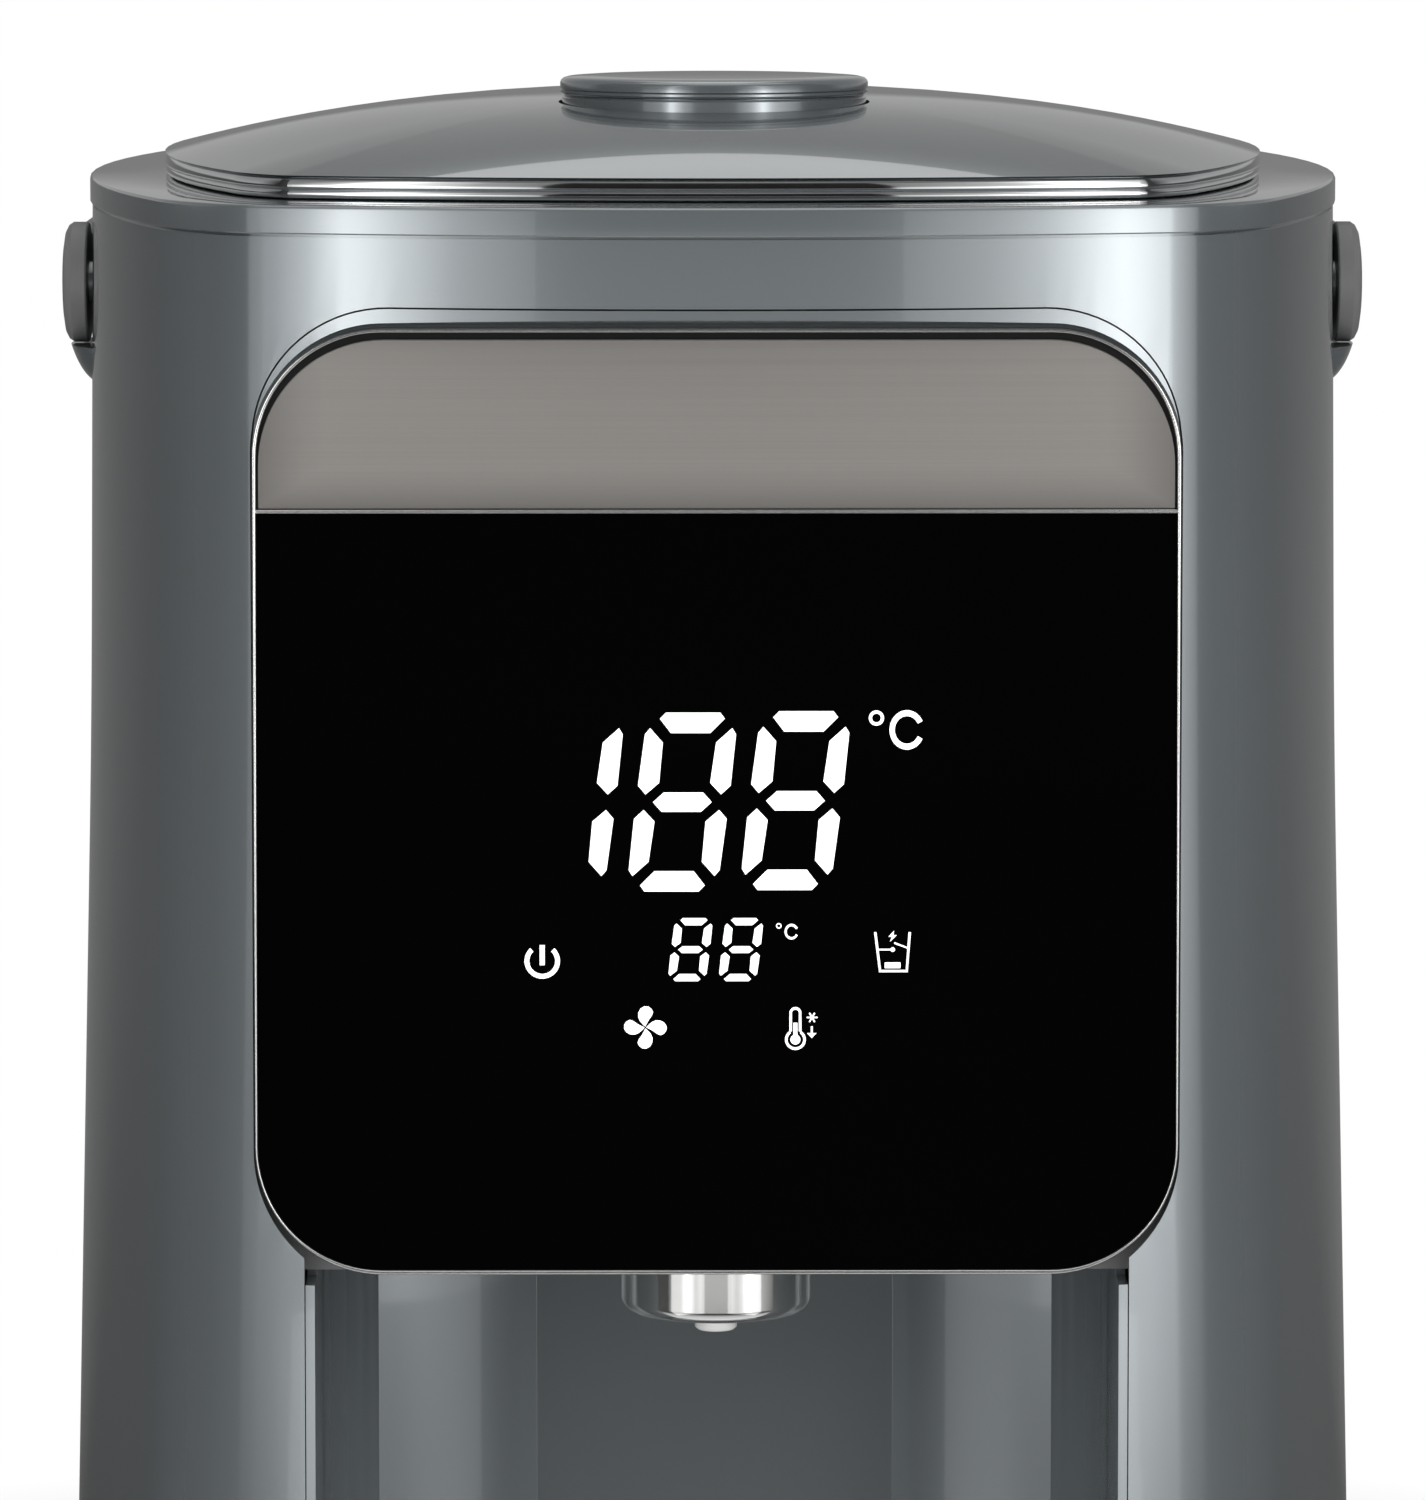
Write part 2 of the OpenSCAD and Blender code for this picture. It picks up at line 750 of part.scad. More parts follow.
module level_run(x0, x1, bore) {
    translate([x0, 0, riser_top_z + hose_bend]) rotate([0, 90, 0])
        linear_extrude(x1 - x0) hose_section(bore);
}

module riser_hose() {
    color("#d9d6cc") at_riser() {
        slab(housing_top_z, riser_top_z) hose_section(hose_bore);
        translate([hose_bend, 0, riser_top_z]) rotate([90, 0, 0]) rotate([0, 0, 90])
            rotate_extrude(angle = 90) translate([hose_bend, 0]) hose_section(hose_bore);
        level_run(hose_bend, spout_run / 2, hose_bore);
    }
}

module spout_elbow() {
    color(dark_plastic) at_riser() {
        level_run(spout_run / 2, spout_run - hose_bend + eps, hose_bore);
        translate([spout_run - hose_bend, 0, riser_top_z]) rotate([90, 0, 0])
            rotate_extrude(angle = 90) translate([hose_bend, 0]) hose_section(hose_bore);
        translate([spout_run, 0, 0]) slab(spout_top_z, riser_top_z + eps) hose_section(hose_bore);
    }
}

module nozzle_shroud() {
    edge = 1;
    wall = 1.2;
    color(chrome) translate([0, nozzle_y]) rotate_extrude() polygon([
        [4.2, nozzle_z], [nozzle_r - edge, nozzle_z], [nozzle_r, nozzle_z + edge],
        [nozzle_r, bay_top_z + 2], [nozzle_r + 1.5, bay_top_z + 2], [nozzle_r + 1.5, spout_top_z],
        [4.2, spout_top_z], [4.2, spout_top_z - wall], [nozzle_r - wall, spout_top_z - wall],
        [nozzle_r - wall, nozzle_z + wall], [4.2, nozzle_z + wall]]);
}

module spout_tip() {
    color("#e8e8e6") translate([0, nozzle_y])
        tube(nozzle_z - 3.8, spout_top_z, 3.9, 2.6);
}

// ---- control panel ----

plate_gap = 1.4;
divider_h = 0.7;

module panel_bezel() {
    color(chrome) on_panel() {
        upright(-0.8, glass_t) difference() {
            panel_outline(0);
            panel_outline(0.8);
        }
        upright(-0.4, glass_t) intersection() {
            panel_outline(0.4);
            translate([-panel_w / 2, -header_h - divider_h]) square([panel_w, divider_h]);
        }
    }
}

module header_plate() {
    color("#93908a") on_panel() upright(-0.2, glass_t) intersection() {
        panel_outline(plate_gap);
        translate([-panel_w / 2, -header_h + 0.1]) square([panel_w, header_h]);
    }
}

module display_glass() {
    color("#0b0b0c") on_panel() upright(0, glass_t) intersection() {
        panel_outline(plate_gap - 0.4);
        translate([-panel_w / 2, -panel_h])
            square([panel_w, panel_h - header_h - divider_h - 0.1]);
    }
}

icon_places = [[-31.5, -114], [-12.9, -126], [15.3, -126], [31.8, -113]];
post_places = [[-66, -14], [66, -14], [-66, -148], [66, -148]];
flange_back = 6.5;
flange_half_w = 85;
post_r = 3.5;

// Windows for the large figures and, below them, the small ones
module led_window(grow) {
    translate([-28 - grow, -106 - grow]) square([70 + 2 * grow, 40 + 2 * grow]);
    translate([-12 - grow, -119 - grow]) square([28 + 2 * grow, 14 + 2 * grow]);
}

// Children stand at a place on the panel, along its normal
module at_panel(p) {
    translate([p.x, 0, p.y]) rotate([-90, 0, 0]) children();
}

module head_frame() {
    color("#2e3032") on_panel() difference() {
        union() {
            upright(glass_t, surround_back + 0.1) panel_outline(1);
            // Flange behind the shell's surround
            upright(surround_back, flange_back) intersection() {
                panel_outline(-4);
                translate([-flange_half_w, 0.2 - panel_h]) square([2 * flange_half_w, panel_h + 10]);
            }
            for (p = post_places) at_panel(p) rod(flange_back - eps, board_y, post_r);
        }
        upright(glass_t - 1, flange_back + 1) led_window(0.3);
        for (p = icon_places) at_panel(p) rod(0, flange_back + 1, 6);
        for (p = post_places) at_panel(p) rod(surround_back, board_y + 1, 1.2);
    }
}

module display_board() {
    board_t = 1.6;
    color("#2f6b46") on_panel() difference() {
        upright(board_y, board_y + board_t) translate([-72, -152]) square([144, 144]);
        for (p = post_places) at_panel(p) rod(board_y - 1, board_y + board_t + 1, 1.2);
    }
}

module led_block() {
    color("#f1f1ee") on_panel() upright(glass_t, board_y) led_window(0);
}

module touch_springs() {
    color(steel) on_panel() for (p = icon_places) at_panel(p) tube(glass_t, board_y, 4.5, 3.7);
}

module panel_screws() {
    color(steel) on_panel() for (p = post_places) at_panel(p) {
        rod(board_y - 5, board_y + 1.6, 1.2);
        rod(board_y + 1.6, board_y + 3, 2.6);
    }
}

// ---- electrics in the base ----

board_low = [20, -55];
board_high = [78, 15];

module board_bracket() {
    color(dark_plastic) difference() {
        union() {
            block([board_low.x, board_low.y, 7], [board_high.x, board_high.y, 8.5]);
            for (x = [board_low.x + 5, board_high.x - 5], y = [board_low.y + 5, board_high.y - 5])
                translate([x, y]) rod(8, 13, 3);
        }
        block([board_low.x + 12, board_low.y + 12, 6], [board_high.x - 12, board_high.y - 12, 9]);
    }
}

module power_board() {
    color("#2f6b46") block([board_low.x, board_low.y, 13], [board_high.x, board_high.y, 14.6]);
    color("#e3c23c") block([26, -50, 14.6], [50, -28, 34]);
    color("#26292c") for (p = [[62, -44], [62, -30]]) translate(p) rod(14.6, 32, 6);
    color("#1f2326") block([28, -16, 14.6], [46, -2, 30]);
    color("#b8452e") block([56, -14, 14.6], [72, 2, 24]);
}

fan_size = 60;
fan_z = 5;
fan_depth = 12;

module fan_frame() {
    bore_r = 27.5;
    color("#232527") translate([fan_at.x, fan_at.y, fan_z]) {
        difference() {
            translate([-fan_size / 2, -fan_size / 2, 0]) cube([fan_size, fan_size, fan_depth]);
            translate([0, 0, -1]) cylinder(h = fan_depth + 2, r = bore_r);
            for (x = [-25, 25], y = [-25, 25]) translate([x, y, -1])
                cylinder(h = fan_depth + 2, r = 2.1);
        }
        // Hub carrier with three arms
        difference() {
            union() {
                cylinder(h = 1.6, r = 11);
                for (a = [30:120:270]) rotate(a) translate([8, -2, 0]) cube([20.2, 4, 1.6]);
                cylinder(h = 4, r = 3.4);
            }
            translate([0, 0, -1]) cylinder(h = 6, r = 1.05);
        }
    }
}

module fan_rotor() {
    color("#2f3235") translate([fan_at.x, fan_at.y, fan_z]) {
        difference() {
            translate([0, 0, 2.2]) cylinder(h = 8.8, r = 11);
            translate([0, 0, 2]) cylinder(h = 5.5, r = 9);
        }
        cylinder(h = 8, r = 1);
        for (a = [0:360 / 7:359]) rotate(a) translate([10.6, 0, 6.6]) rotate([38, 0, 0])
            translate([0, -5, -0.5]) cube([15.4, 10, 1]);
    }
}

module inlet_socket() {
    back_y = rear_y + 5;
    color("#1f2123") difference() {
        union() {
            block([-20.6, back_y - 24, inlet_z - 13], [20.6, back_y, inlet_z + 13]);
            block([-25, back_y - 8, inlet_z - 17], [25, back_y - 5, inlet_z + 17]);
            block([-10, back_y - 20, 7], [10, back_y - 10, inlet_z]);
        }
        block([-14, back_y - 16, inlet_z - 9], [14, back_y + 1, inlet_z + 9]);
        for (x = [-7, 0, 7]) translate([x, back_y - 30, inlet_z + (x == 0 ? 2.5 : -2.5)])
            rotate([-90, 0, 0]) cylinder(h = 20, r = 1.6);
    }
}

module inlet_pins() {
    back_y = rear_y + 5;
    color("#c8a85a") for (x = [-7, 0, 7])
        translate([x, back_y - 28, inlet_z + (x == 0 ? 2.5 : -2.5)])
            rotate([-90, 0, 0]) cylinder(h = 19, r = 1.6);
}

// ---- handle ----

handle_half = handle_w / 2;
handle_inner = body_half_w + 0.8;
arm_t = handle_half - handle_inner;
bail_corner_r = 60;
bail_rear_y = body_front * draft(foot_h);
bail_inner_y = bail_rear_y - 9;

module handle_bosses() {
    reach = 8;
    depth = 22;
    height = 20;
    color(body_paint) for (s = [-1, 1]) intersection() {
        translate([s * (body_half_w - 2), 0, pivot_z]) scale([reach, depth, height] / 20)
            sphere(r = 20, $fn = 72);
        difference() {
            translate([s * (body_half_w + 5), 0, 0])
                block([-6, -depth, pivot_z - height], [6, depth, pivot_z - handle_end_r - 0.15]);
            body_loft(-0.05, [200, seam_z]);
        }
    }
}

module handle_pivots() {
    color(steel) for (s = [-1, 1]) scale([s, 1, 1]) translate([0, 0, pivot_z])
        rotate([0, 90, 0]) {
            rod(handle_inner - 9.2, handle_inner - 4.9, 8);
            rod(handle_inner - 5, handle_inner + 3.2, 4);
        }
}

module bail_plan(half, corner, rear) {
    translate([-half, -20]) square([2 * half, rear - corner + 20]);
    translate([-half + corner, -20]) square([2 * (half - corner), rear + 20]);
    for (s = [-1, 1]) translate([s * (half - corner), rear - corner]) circle(corner);
}

module carry_handle() {
    grip_h = 9;
    dome = 1.4;
    color(dark_plastic) difference() {
        union() {
            slab(pivot_z - grip_h, pivot_z + grip_h) difference() {
                bail_plan(handle_half - 0.6, bail_corner_r + 8.5, bail_rear_y);
                bail_plan(handle_inner, bail_corner_r, bail_inner_y);
                translate([-200, -200]) square([400, 200]);
            }
            for (s = [-1, 1]) scale([s, 1, 1]) translate([0, 0, pivot_z]) rotate([0, 90, 0])
                translate([0, 0, handle_inner]) rotate_extrude() polygon([
                    [0, 0], [handle_end_r, 0], [handle_end_r, arm_t - dome],
                    [handle_end_r - 2.2, arm_t - 0.4], [handle_end_r - 5, arm_t], [0, arm_t]]);
        }
        for (s = [-1, 1]) scale([s, 1, 1]) translate([0, 0, pivot_z]) rotate([0, 90, 0])
            rod(handle_inner - 5, handle_inner + 3.4, 4.05);
    }
}

// ---- drip tray ----

tray_gap = 0.6;
tray_posts = [[48, -110], [-48, -110], [50, -136], [-50, -136]];

module drip_tray() {
    color(dark_plastic) difference() {
        intersection() {
            body_loft(5.6, [10.1, 24]);
            slab(10.1, 24) tub_plan(tray_gap);
        }
        difference() {
            intersection() {
                body_loft(7.6, [12, 25]);
                slab(12, 25) tub_plan(tray_gap + 2);
            }
            for (p = tray_posts) translate(p) rod(11, 22, 3);
        }
    }
}

module drip_grid() {
    slot_pitch = 7;
    color(steel) intersection() {
        body_loft(7.8, [21, 24]);
        difference() {
            slab(22, 23.6) tub_plan(tray_gap + 2.2);
            for (k = [-4:3]) block([abs(k) * 3 - 38, k * slot_pitch - 110.6, 21],
                [38 - abs(k) * 3, k * slot_pitch - 107.4, 25]);
        }
    }
}

outer_shell();
bay_liner();
base_pan();
tray_tub();
bottom_cover();
feet();
cover_screws();
tie_rods();
top_collar();
hinge_block();
hinge_pin();
latch_keeper();
lid_cover();
lid_trim();
lid_liner();
lid_gasket();
lid_screws();
vent_tube();
vent_float();
lid_button();
button_skirt();
button_spring();
latch_bolt();
inner_pot();
pot_seal();
insulation_sleeve();
heater_plate();
heater_clamp();
thermostats();
temperature_probe();
pump_housing();
pump_motor();
motor_rotor();
pump_impeller();
pot_outlet_hose();
riser_hose();
spout_elbow();
nozzle_shroud();
spout_tip();
head_frame();
panel_bezel();
header_plate();
display_glass();
display_board();
led_block();
touch_springs();
panel_screws();
board_bracket();
power_board();
fan_frame();
fan_rotor();
inlet_socket();
inlet_pins();
handle_bosses();
handle_pivots();
carry_handle();
drip_tray();
drip_grid();
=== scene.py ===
from math import cos, hypot, pi, radians, sin

import bmesh
import bpy
from mathutils import Matrix, Vector


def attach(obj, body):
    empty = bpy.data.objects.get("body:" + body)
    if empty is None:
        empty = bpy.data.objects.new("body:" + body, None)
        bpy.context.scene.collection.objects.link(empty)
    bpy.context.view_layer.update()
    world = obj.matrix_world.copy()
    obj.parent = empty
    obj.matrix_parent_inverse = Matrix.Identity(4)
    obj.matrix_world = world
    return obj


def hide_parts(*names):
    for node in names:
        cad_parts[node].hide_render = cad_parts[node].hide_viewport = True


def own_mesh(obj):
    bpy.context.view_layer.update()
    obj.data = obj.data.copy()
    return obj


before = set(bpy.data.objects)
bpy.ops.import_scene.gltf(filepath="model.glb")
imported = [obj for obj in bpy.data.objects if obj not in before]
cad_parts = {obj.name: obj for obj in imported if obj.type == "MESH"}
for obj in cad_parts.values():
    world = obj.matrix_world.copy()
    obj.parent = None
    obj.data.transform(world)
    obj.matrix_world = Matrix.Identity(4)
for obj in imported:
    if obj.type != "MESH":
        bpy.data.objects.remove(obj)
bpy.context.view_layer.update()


# ---- Camera ----
# Stands back at about eye level of someone at the worktop and looks slightly
# down at the control panel through a long lens. Sizes here are millimetres.
MM = 0.001
eye = Vector((-9, -1570, 402.6))
look_down, look_right = 6.80, 0.33
camera = bpy.data.objects.new("camera", bpy.data.cameras.new("camera"))
bpy.context.scene.collection.objects.link(camera)
camera.location = eye * MM
camera.rotation_euler = (radians(90 - look_down), 0, radians(-look_right))
camera.data.lens, camera.data.sensor_width = 192, 36
camera.data.clip_start, camera.data.clip_end = 0.1, 100
bpy.context.scene.camera = camera
bpy.context.scene.view_settings.view_transform = "Standard"


# ---- Studio ----
# A pale floor that runs out to plain white, black flags round the set, two tall
# soft boxes beside the camera, one high up behind, two low strips for the bay,
# and a room that is brightest overhead.
class Flow:
    """A socket of a node tree. Python's operators on it add Math nodes."""

    def __init__(self, tree, socket=None):
        self.tree, self.socket = tree, socket

    def make(self, kind, sockets={}, out=0, **settings):
        """Adds a node: its settings first, then the values or links of its sockets."""
        node = self.tree.nodes.new("ShaderNode" + kind)
        for key, value in settings.items():
            setattr(node, key, value)
        for key, value in sockets.items():
            if isinstance(value, Flow):
                self.tree.links.new(value.socket, node.inputs[key])
            else:
                node.inputs[key].default_value = value
        return Flow(self.tree, node.outputs[out])

    def sum(self, operation, *terms):
        return self.make("Math", dict(enumerate(terms)), operation=operation)

    def __add__(self, other):
        return self.sum("ADD", self, other)

    def __sub__(self, other):
        return self.sum("SUBTRACT", self, other)

    def __mul__(self, other):
        return self.sum("MULTIPLY", self, other)

    def __gt__(self, other):
        return self.sum("GREATER_THAN", self, other)

    __radd__, __rmul__ = __add__, __mul__

    def peak(self, other):
        return self.sum("MAXIMUM", self, other)

    def part(self, axis):
        """One part of a vector: 0, 1 or 2 for X, Y or Z."""
        return self.make("SeparateXYZ", {0: self}, axis)

    def length(self):
        return self.make("VectorMath", {0: self}, 1, operation="LENGTH")

    def mix(self, low, high):
        """Colour between low and high, with this value as the share of high."""
        return self.make("Mix", {0: self, 6: low, 7: high}, 2, data_type="RGBA")

    def ramp(self, *stops):
        """A grey that follows this value through stops of (place, tone)."""
        grey = self.make("ValToRGB", {"Fac": self})
        marks = grey.socket.node.color_ramp.elements
        while len(marks) < len(stops):
            marks.new(0.5)
        for mark, (place, tone) in zip(marks, stops):
            mark.position, mark.color = place, (tone, tone, tone, 1)
        return grey

    def feed(self, node, socket):
        self.tree.links.new(self.socket, node.inputs[socket])


def rgb(red, green=None, blue=None):
    """An opaque colour, or a grey from one value."""
    return (red, red, red, 1) if green is None else (red, green, blue, 1)


def blank(owner):
    """The empty node tree of a material, lamp or world, and its output node."""
    owner.use_nodes = True
    owner.node_tree.nodes.clear()
    kind = {"Material": "OutputMaterial", "World": "OutputWorld"}.get(
        type(owner).__name__, "OutputLight")
    return Flow(owner.node_tree), owner.node_tree.nodes.new("ShaderNode" + kind)


def sees_backdrop(tree):
    """1 for the rays that see the white backdrop: the camera's and those off gloss or glass."""
    path = tree.make("LightPath")
    seen, gloss, through = (Flow(tree.tree, path.socket.node.outputs[f"Is {kind} Ray"])
                            for kind in ("Camera", "Glossy", "Transmission"))
    return seen.peak(gloss.peak(through))


room = bpy.data.worlds.new("room")
bpy.context.scene.world = room
sky, sky_out = blank(room)
heading = sky.make("TexCoord")
height, depth = heading.part(2), heading.part(1)
glow = (height * 0.5 + 0.5).ramp((0.0, 0.55), (0.47, 0.42), (0.50, 0.20), (0.58, 0.26),
                                 (0.75, 0.65), (1.0, 1.0))
glow = glow * (depth * -0.5 + 0.5).ramp((0.3, 0.24), (0.6, 0.32), (1.0, 1.0)) * 2.9
sky.make("Background", {"Color": sees_backdrop(sky).mix(glow, rgb(1))}).feed(
    sky_out, "Surface")


def soft_box(name, azimuth, lift, distance, size, glare, stops, foot=(0, 0, 0.01),
             fade=((0.0, 1.0), (1.0, 1.0))):
    """A lamp that faces the point above its foot; its strength follows stops from its left
    to its right and fade from its foot to its top."""
    lamp = bpy.data.lights.new(name, "AREA")
    lamp.shape, lamp.size, lamp.size_y = "RECTANGLE", *size
    lamp.energy = glare * pi * size[0] * size[1]
    glass, out = blank(lamp)
    spot = glass.make("NewGeometry", out=5)
    glass.make("Emission", {
        "Strength": spot.part(0).ramp(*stops) * spot.part(1).ramp(*fade)}).feed(out, "Surface")
    stand = bpy.data.objects.new(name, lamp)
    bpy.context.scene.collection.objects.link(stand)
    turn, rise = radians(azimuth), radians(lift)
    away = Vector((sin(turn) * cos(rise), -cos(turn) * cos(rise), sin(rise)))
    stand.location = away * distance + Vector((0, 0, size[1] / 2)) + Vector(foot)
    stand.rotation_euler = away.to_track_quat("Z", "Y").to_euler()
    stand.visible_camera = False


tall_fade = ((0.0, 0.22), (0.08, 0.38), (0.30, 1.0), (0.42, 1.0), (0.52, 0.35), (1.0, 0.25))
soft_box("soft_box_left", -32, 0, 0.62, (0.40, 0.85), 6.6,
         [(0.0, 0.10), (0.40, 0.12), (0.49, 0.30), (0.57, 1.0), (0.68, 0.5), (0.82, 0.2),
          (1.0, 0.1)], fade=tall_fade)
soft_box("soft_box_right", 39, 0, 0.62, (0.55, 0.85), 7.0,
         [(0.0, 0.1), (0.164, 0.2), (0.245, 0.30), (0.31, 0.55), (0.376, 1.0), (0.44, 0.62),
          (0.52, 0.32), (0.65, 0.24), (0.8, 0.17), (1.0, 0.08)], fade=tall_fade)
soft_box("soft_box_top", 180, 56, 1.6, (0.66, 1.0), 1.0, [(0.0, 0.0), (0.2, 1.0), (0.8, 1.0),
                                                      (1.0, 0.0)], (0, 0, -0.2))
strip = [(0.0, 0.62), (0.14, 0.62), (0.20, 0.40), (1.0, 0.40)]
soft_box("bay_strip_left", -90, 0, 0.12, (0.395, 0.12), 1.1, strip, (0, -0.4025, 0))
soft_box("bay_strip_right", 90, 0, 0.12, (0.395, 0.12), 1.1,
         [(1 - place, share) for place, share in reversed(strip)], (0, -0.4025, 0))


def stock(bm, name="stock"):
    """A loose object made from a bmesh, in the units of the bmesh."""
    mesh = bpy.data.meshes.new(name)
    bm.to_mesh(mesh)
    bm.free()
    made = bpy.data.objects.new(name, mesh)
    bpy.context.scene.collection.objects.link(made)
    return made


def prop(name, bm, finish):
    """A thing of the studio made from a bmesh in metres, which isn't part of the pot."""
    made = stock(bm, name)
    made.data.materials.append(finish)
    return made


def verts_in(geometry):
    return [g for g in geometry if isinstance(g, bmesh.types.BMVert)]


def shift(bm, vec, verts=None):
    """Moves some vertices, or all of them."""
    bmesh.ops.translate(bm, verts=verts or bm.verts, vec=vec)


flag_near, flag_full, flag_r, flag_low, flag_high = 0.16, 0.34, 2.4, 0.002, 4.6
cloth = bpy.data.materials.new("black_cloth")
weft, weft_out = blank(cloth)
place = weft.make("TexCoord", out=3)
above = place.part(2)
flat_span = weft.make("VectorMath", {0: place, 1: (1, 1, 0)}, operation="MULTIPLY").length()
ahead = weft.sum("DIVIDE", place.part(1), flat_span) * -0.5 + 0.5
right = weft.sum("DIVIDE", place.part(0), flat_span).peak(0.0)
sheen = ahead.ramp((0.0, 0.20), (0.03, 0.14), (0.09, 0.07), (0.25, 0.04), (0.5, 0.03),
                   (0.75, 0.05), (0.90, 0.015)) * (right * 0.5 + 1.0)
overhead = (above * 0.2).ramp((0.40, 0.0), (0.90, 0.30))
card = above.ramp((0.03, 0.0), (0.08, 0.45), (0.24, 0.45), (0.28, 0.0)).peak(
    flat_span.ramp((0.75, 0.0), (0.78, 0.6), (0.96, 0.6), (1.0, 0.0)))
rear = (above * 0.5).ramp((0.18, 0.0), (0.25, 0.40), (0.5, 0.30), (1.0, 0.22))
sheen = sheen.peak(overhead).peak(ahead.ramp((0.966, 0.0), (0.985, 1.0)) * card).peak(
    ahead.ramp((0.35, 1.0), (0.5, 0.0)) * rear)
drape = weft.make("Emission", {"Color": rgb(1), "Strength": sheen})
weft.make("MixShader", {
    0: place.length().ramp((flag_near, 0.0), (flag_full, 1.0)), 1: weft.make("BsdfTransparent"),
    2: drape}).feed(weft_out, "Surface")
cloth.cycles.emission_sampling = "NONE"
flag_shape = bmesh.new()
hem = bmesh.ops.create_circle(flag_shape, segments=96, radius=flag_near)["verts"]
shift(flag_shape, (0, 0, flag_low), hem)
for growth, rise in ((flag_r / flag_near, 0), (1, flag_high - flag_low)):
    edges = [e for e in flag_shape.edges if e.verts[0] in hem and e.verts[1] in hem]
    hem = verts_in(bmesh.ops.extrude_edge_only(flag_shape, edges=edges)["geom"])
    bmesh.ops.scale(flag_shape, verts=hem, vec=(growth, growth, 1))
    shift(flag_shape, (0, 0, rise), hem)
flags = prop("black_flags", flag_shape, cloth)
flags.visible_camera = flags.visible_shadow = flags.visible_diffuse = False

floor_shape = bmesh.new()
bmesh.ops.create_circle(floor_shape, cap_ends=True, segments=96, radius=40)
paper = bpy.data.materials.new("paper_floor")
sheet, sheet_out = blank(paper)
place = sheet.make("TexCoord", out=3)
grain = sheet.make("TexNoise", {"Vector": place, "Scale": 60.0})
matt = sheet.make("BsdfDiffuse", {
    "Color": grain.mix(rgb(0.80), rgb(0.84))})
lit = sheet.make("Emission", {"Color": rgb(1)})
far = place.length().ramp((0.0, 0.0), (0.17, 0.0), (0.36, 1.0)) * sees_backdrop(sheet)
sheet.make("MixShader", {0: far, 1: matt, 2: lit}).feed(sheet_out, "Surface")
prop("floor", floor_shape, paper)


# ---- Outer shell ----
# One tall moulding: wide curved front, tight front corners, flat drafted
# sides and a round back. Moulded in graphite plastic, lacquered and cleared.
front_y = -151
first_r, first_turn = 270, 17.5
arcs = ((first_r, first_turn, 18), (20, 46.5, 14), (56, 71.5, 10), (370, 104, 14),
        (54, 158.5, 26))
last_turn, last_steps = 180, 10
shell_foot, seam_z, collar_z = 20, 324.4, 330
seam_step, upper_draft, lower_draft = 0.0035, 0.000091, 0.000115
draft_z, draft_blend = 224, 24


def draft(z):
    """Width of the body at a height, as a share of the collar's."""
    below = draft_z - z
    eased = (0 if below < -draft_blend else below if below > draft_blend
             else (below + draft_blend) ** 2 / (4 * draft_blend))
    return 1 - seam_step + upper_draft * (seam_z - z) + lower_draft * eased


def spin_arc(bm, tip, centre, angle, steps):
    """Spins one vertex about an upright axis and returns where it ends."""
    made = bmesh.ops.spin(bm, geom=[tip], cent=centre, axis=(0, 0, 1), angle=radians(angle),
                          steps=steps, use_duplicate=False)
    return made["geom_last"][0]


def body_loop(bm, z, inset=0):
    """Outline of the body, spun arc by arc on the right and mirrored; returns its edges."""
    old = set(bm.edges)
    centre, turn, radius = Vector((0, front_y + first_r, z)), 0, first_r
    start = tip = bm.verts.new((0, front_y + inset, z))
    for next_r, end, steps in arcs:
        at = radians(turn)
        centre = centre + (radius - next_r) * Vector((sin(at), -cos(at), 0))
        tip = spin_arc(bm, tip, centre, end - turn, steps)
        turn, radius = end, next_r
    at = radians(turn)
    last_r = radius + centre.x / sin(at)
    tip = spin_arc(bm, tip, centre + (radius - last_r) * Vector((sin(at), -cos(at), 0)),
                   last_turn - turn, last_steps)
    start.co.x = tip.co.x = 0
    half = [e for e in bm.edges if e not in old]
    ends = {v for e in half for v in e.verts}
    bmesh.ops.mirror(bm, geom=[*ends, *half], axis="X", merge_dist=0.001)
    return [e for e in bm.edges if e not in old]


def verts_of(edges):
    return list({v for e in edges for v in e.verts})


def grow(verts, x, y, about_y=0):
    for v in verts:
        v.co.x *= x
        v.co.y = (v.co.y - about_y) * y + about_y


def pull(bm, edges, rise=0, x=1, y=1, about_y=0):
    """Extrudes a loop of edges, lifts and scales it, and returns the new loop."""
    fresh = set(verts_in(bmesh.ops.extrude_edge_only(bm, edges=edges)["geom"]))
    grow(fresh, x, y, about_y)
    shift(bm, (0, 0, rise), list(fresh))
    return [e for e in bm.edges if e.verts[0] in fresh and e.verts[1] in fresh]


def cap(bm, edges):
    bmesh.ops.holes_fill(bm, edges=edges, sides=0)


def body_block(levels, inset=0):
    """The drafted body as a closed block between its lowest and highest level."""
    bm = bmesh.new()
    loop = body_loop(bm, levels[0], inset)
    grow(verts_of(loop), draft(levels[0]), draft(levels[0]))
    cap(bm, loop)
    for low, high in zip(levels, levels[1:]):
        share = draft(high) / draft(low)
        loop = pull(bm, loop, high - low, share, share)
    cap(bm, loop)
    return tidy(bm)


def tidy(bm):
    """Merges doubles and turns the faces outwards."""
    bmesh.ops.remove_doubles(bm, verts=bm.verts, dist=0.0005)
    bmesh.ops.recalc_face_normals(bm, faces=bm.faces)
    return bm


def machine(work, *tools, how="DIFFERENCE"):
    """Cuts, joins or trims one loose object with others, which are used up."""
    for tool in tools:
        if isinstance(tool, bmesh.types.BMesh):
            tool = stock(tool)
        step = work.modifiers.new("step", "BOOLEAN")
        step.object, step.operation, step.solver = tool, how, "EXACT"
        bpy.context.view_layer.update()
        seen_now = work.evaluated_get(bpy.context.evaluated_depsgraph_get())
        shape = bpy.data.meshes.new_from_object(seen_now)
        work.modifiers.clear()
        work.data = shape
        bpy.data.objects.remove(tool)


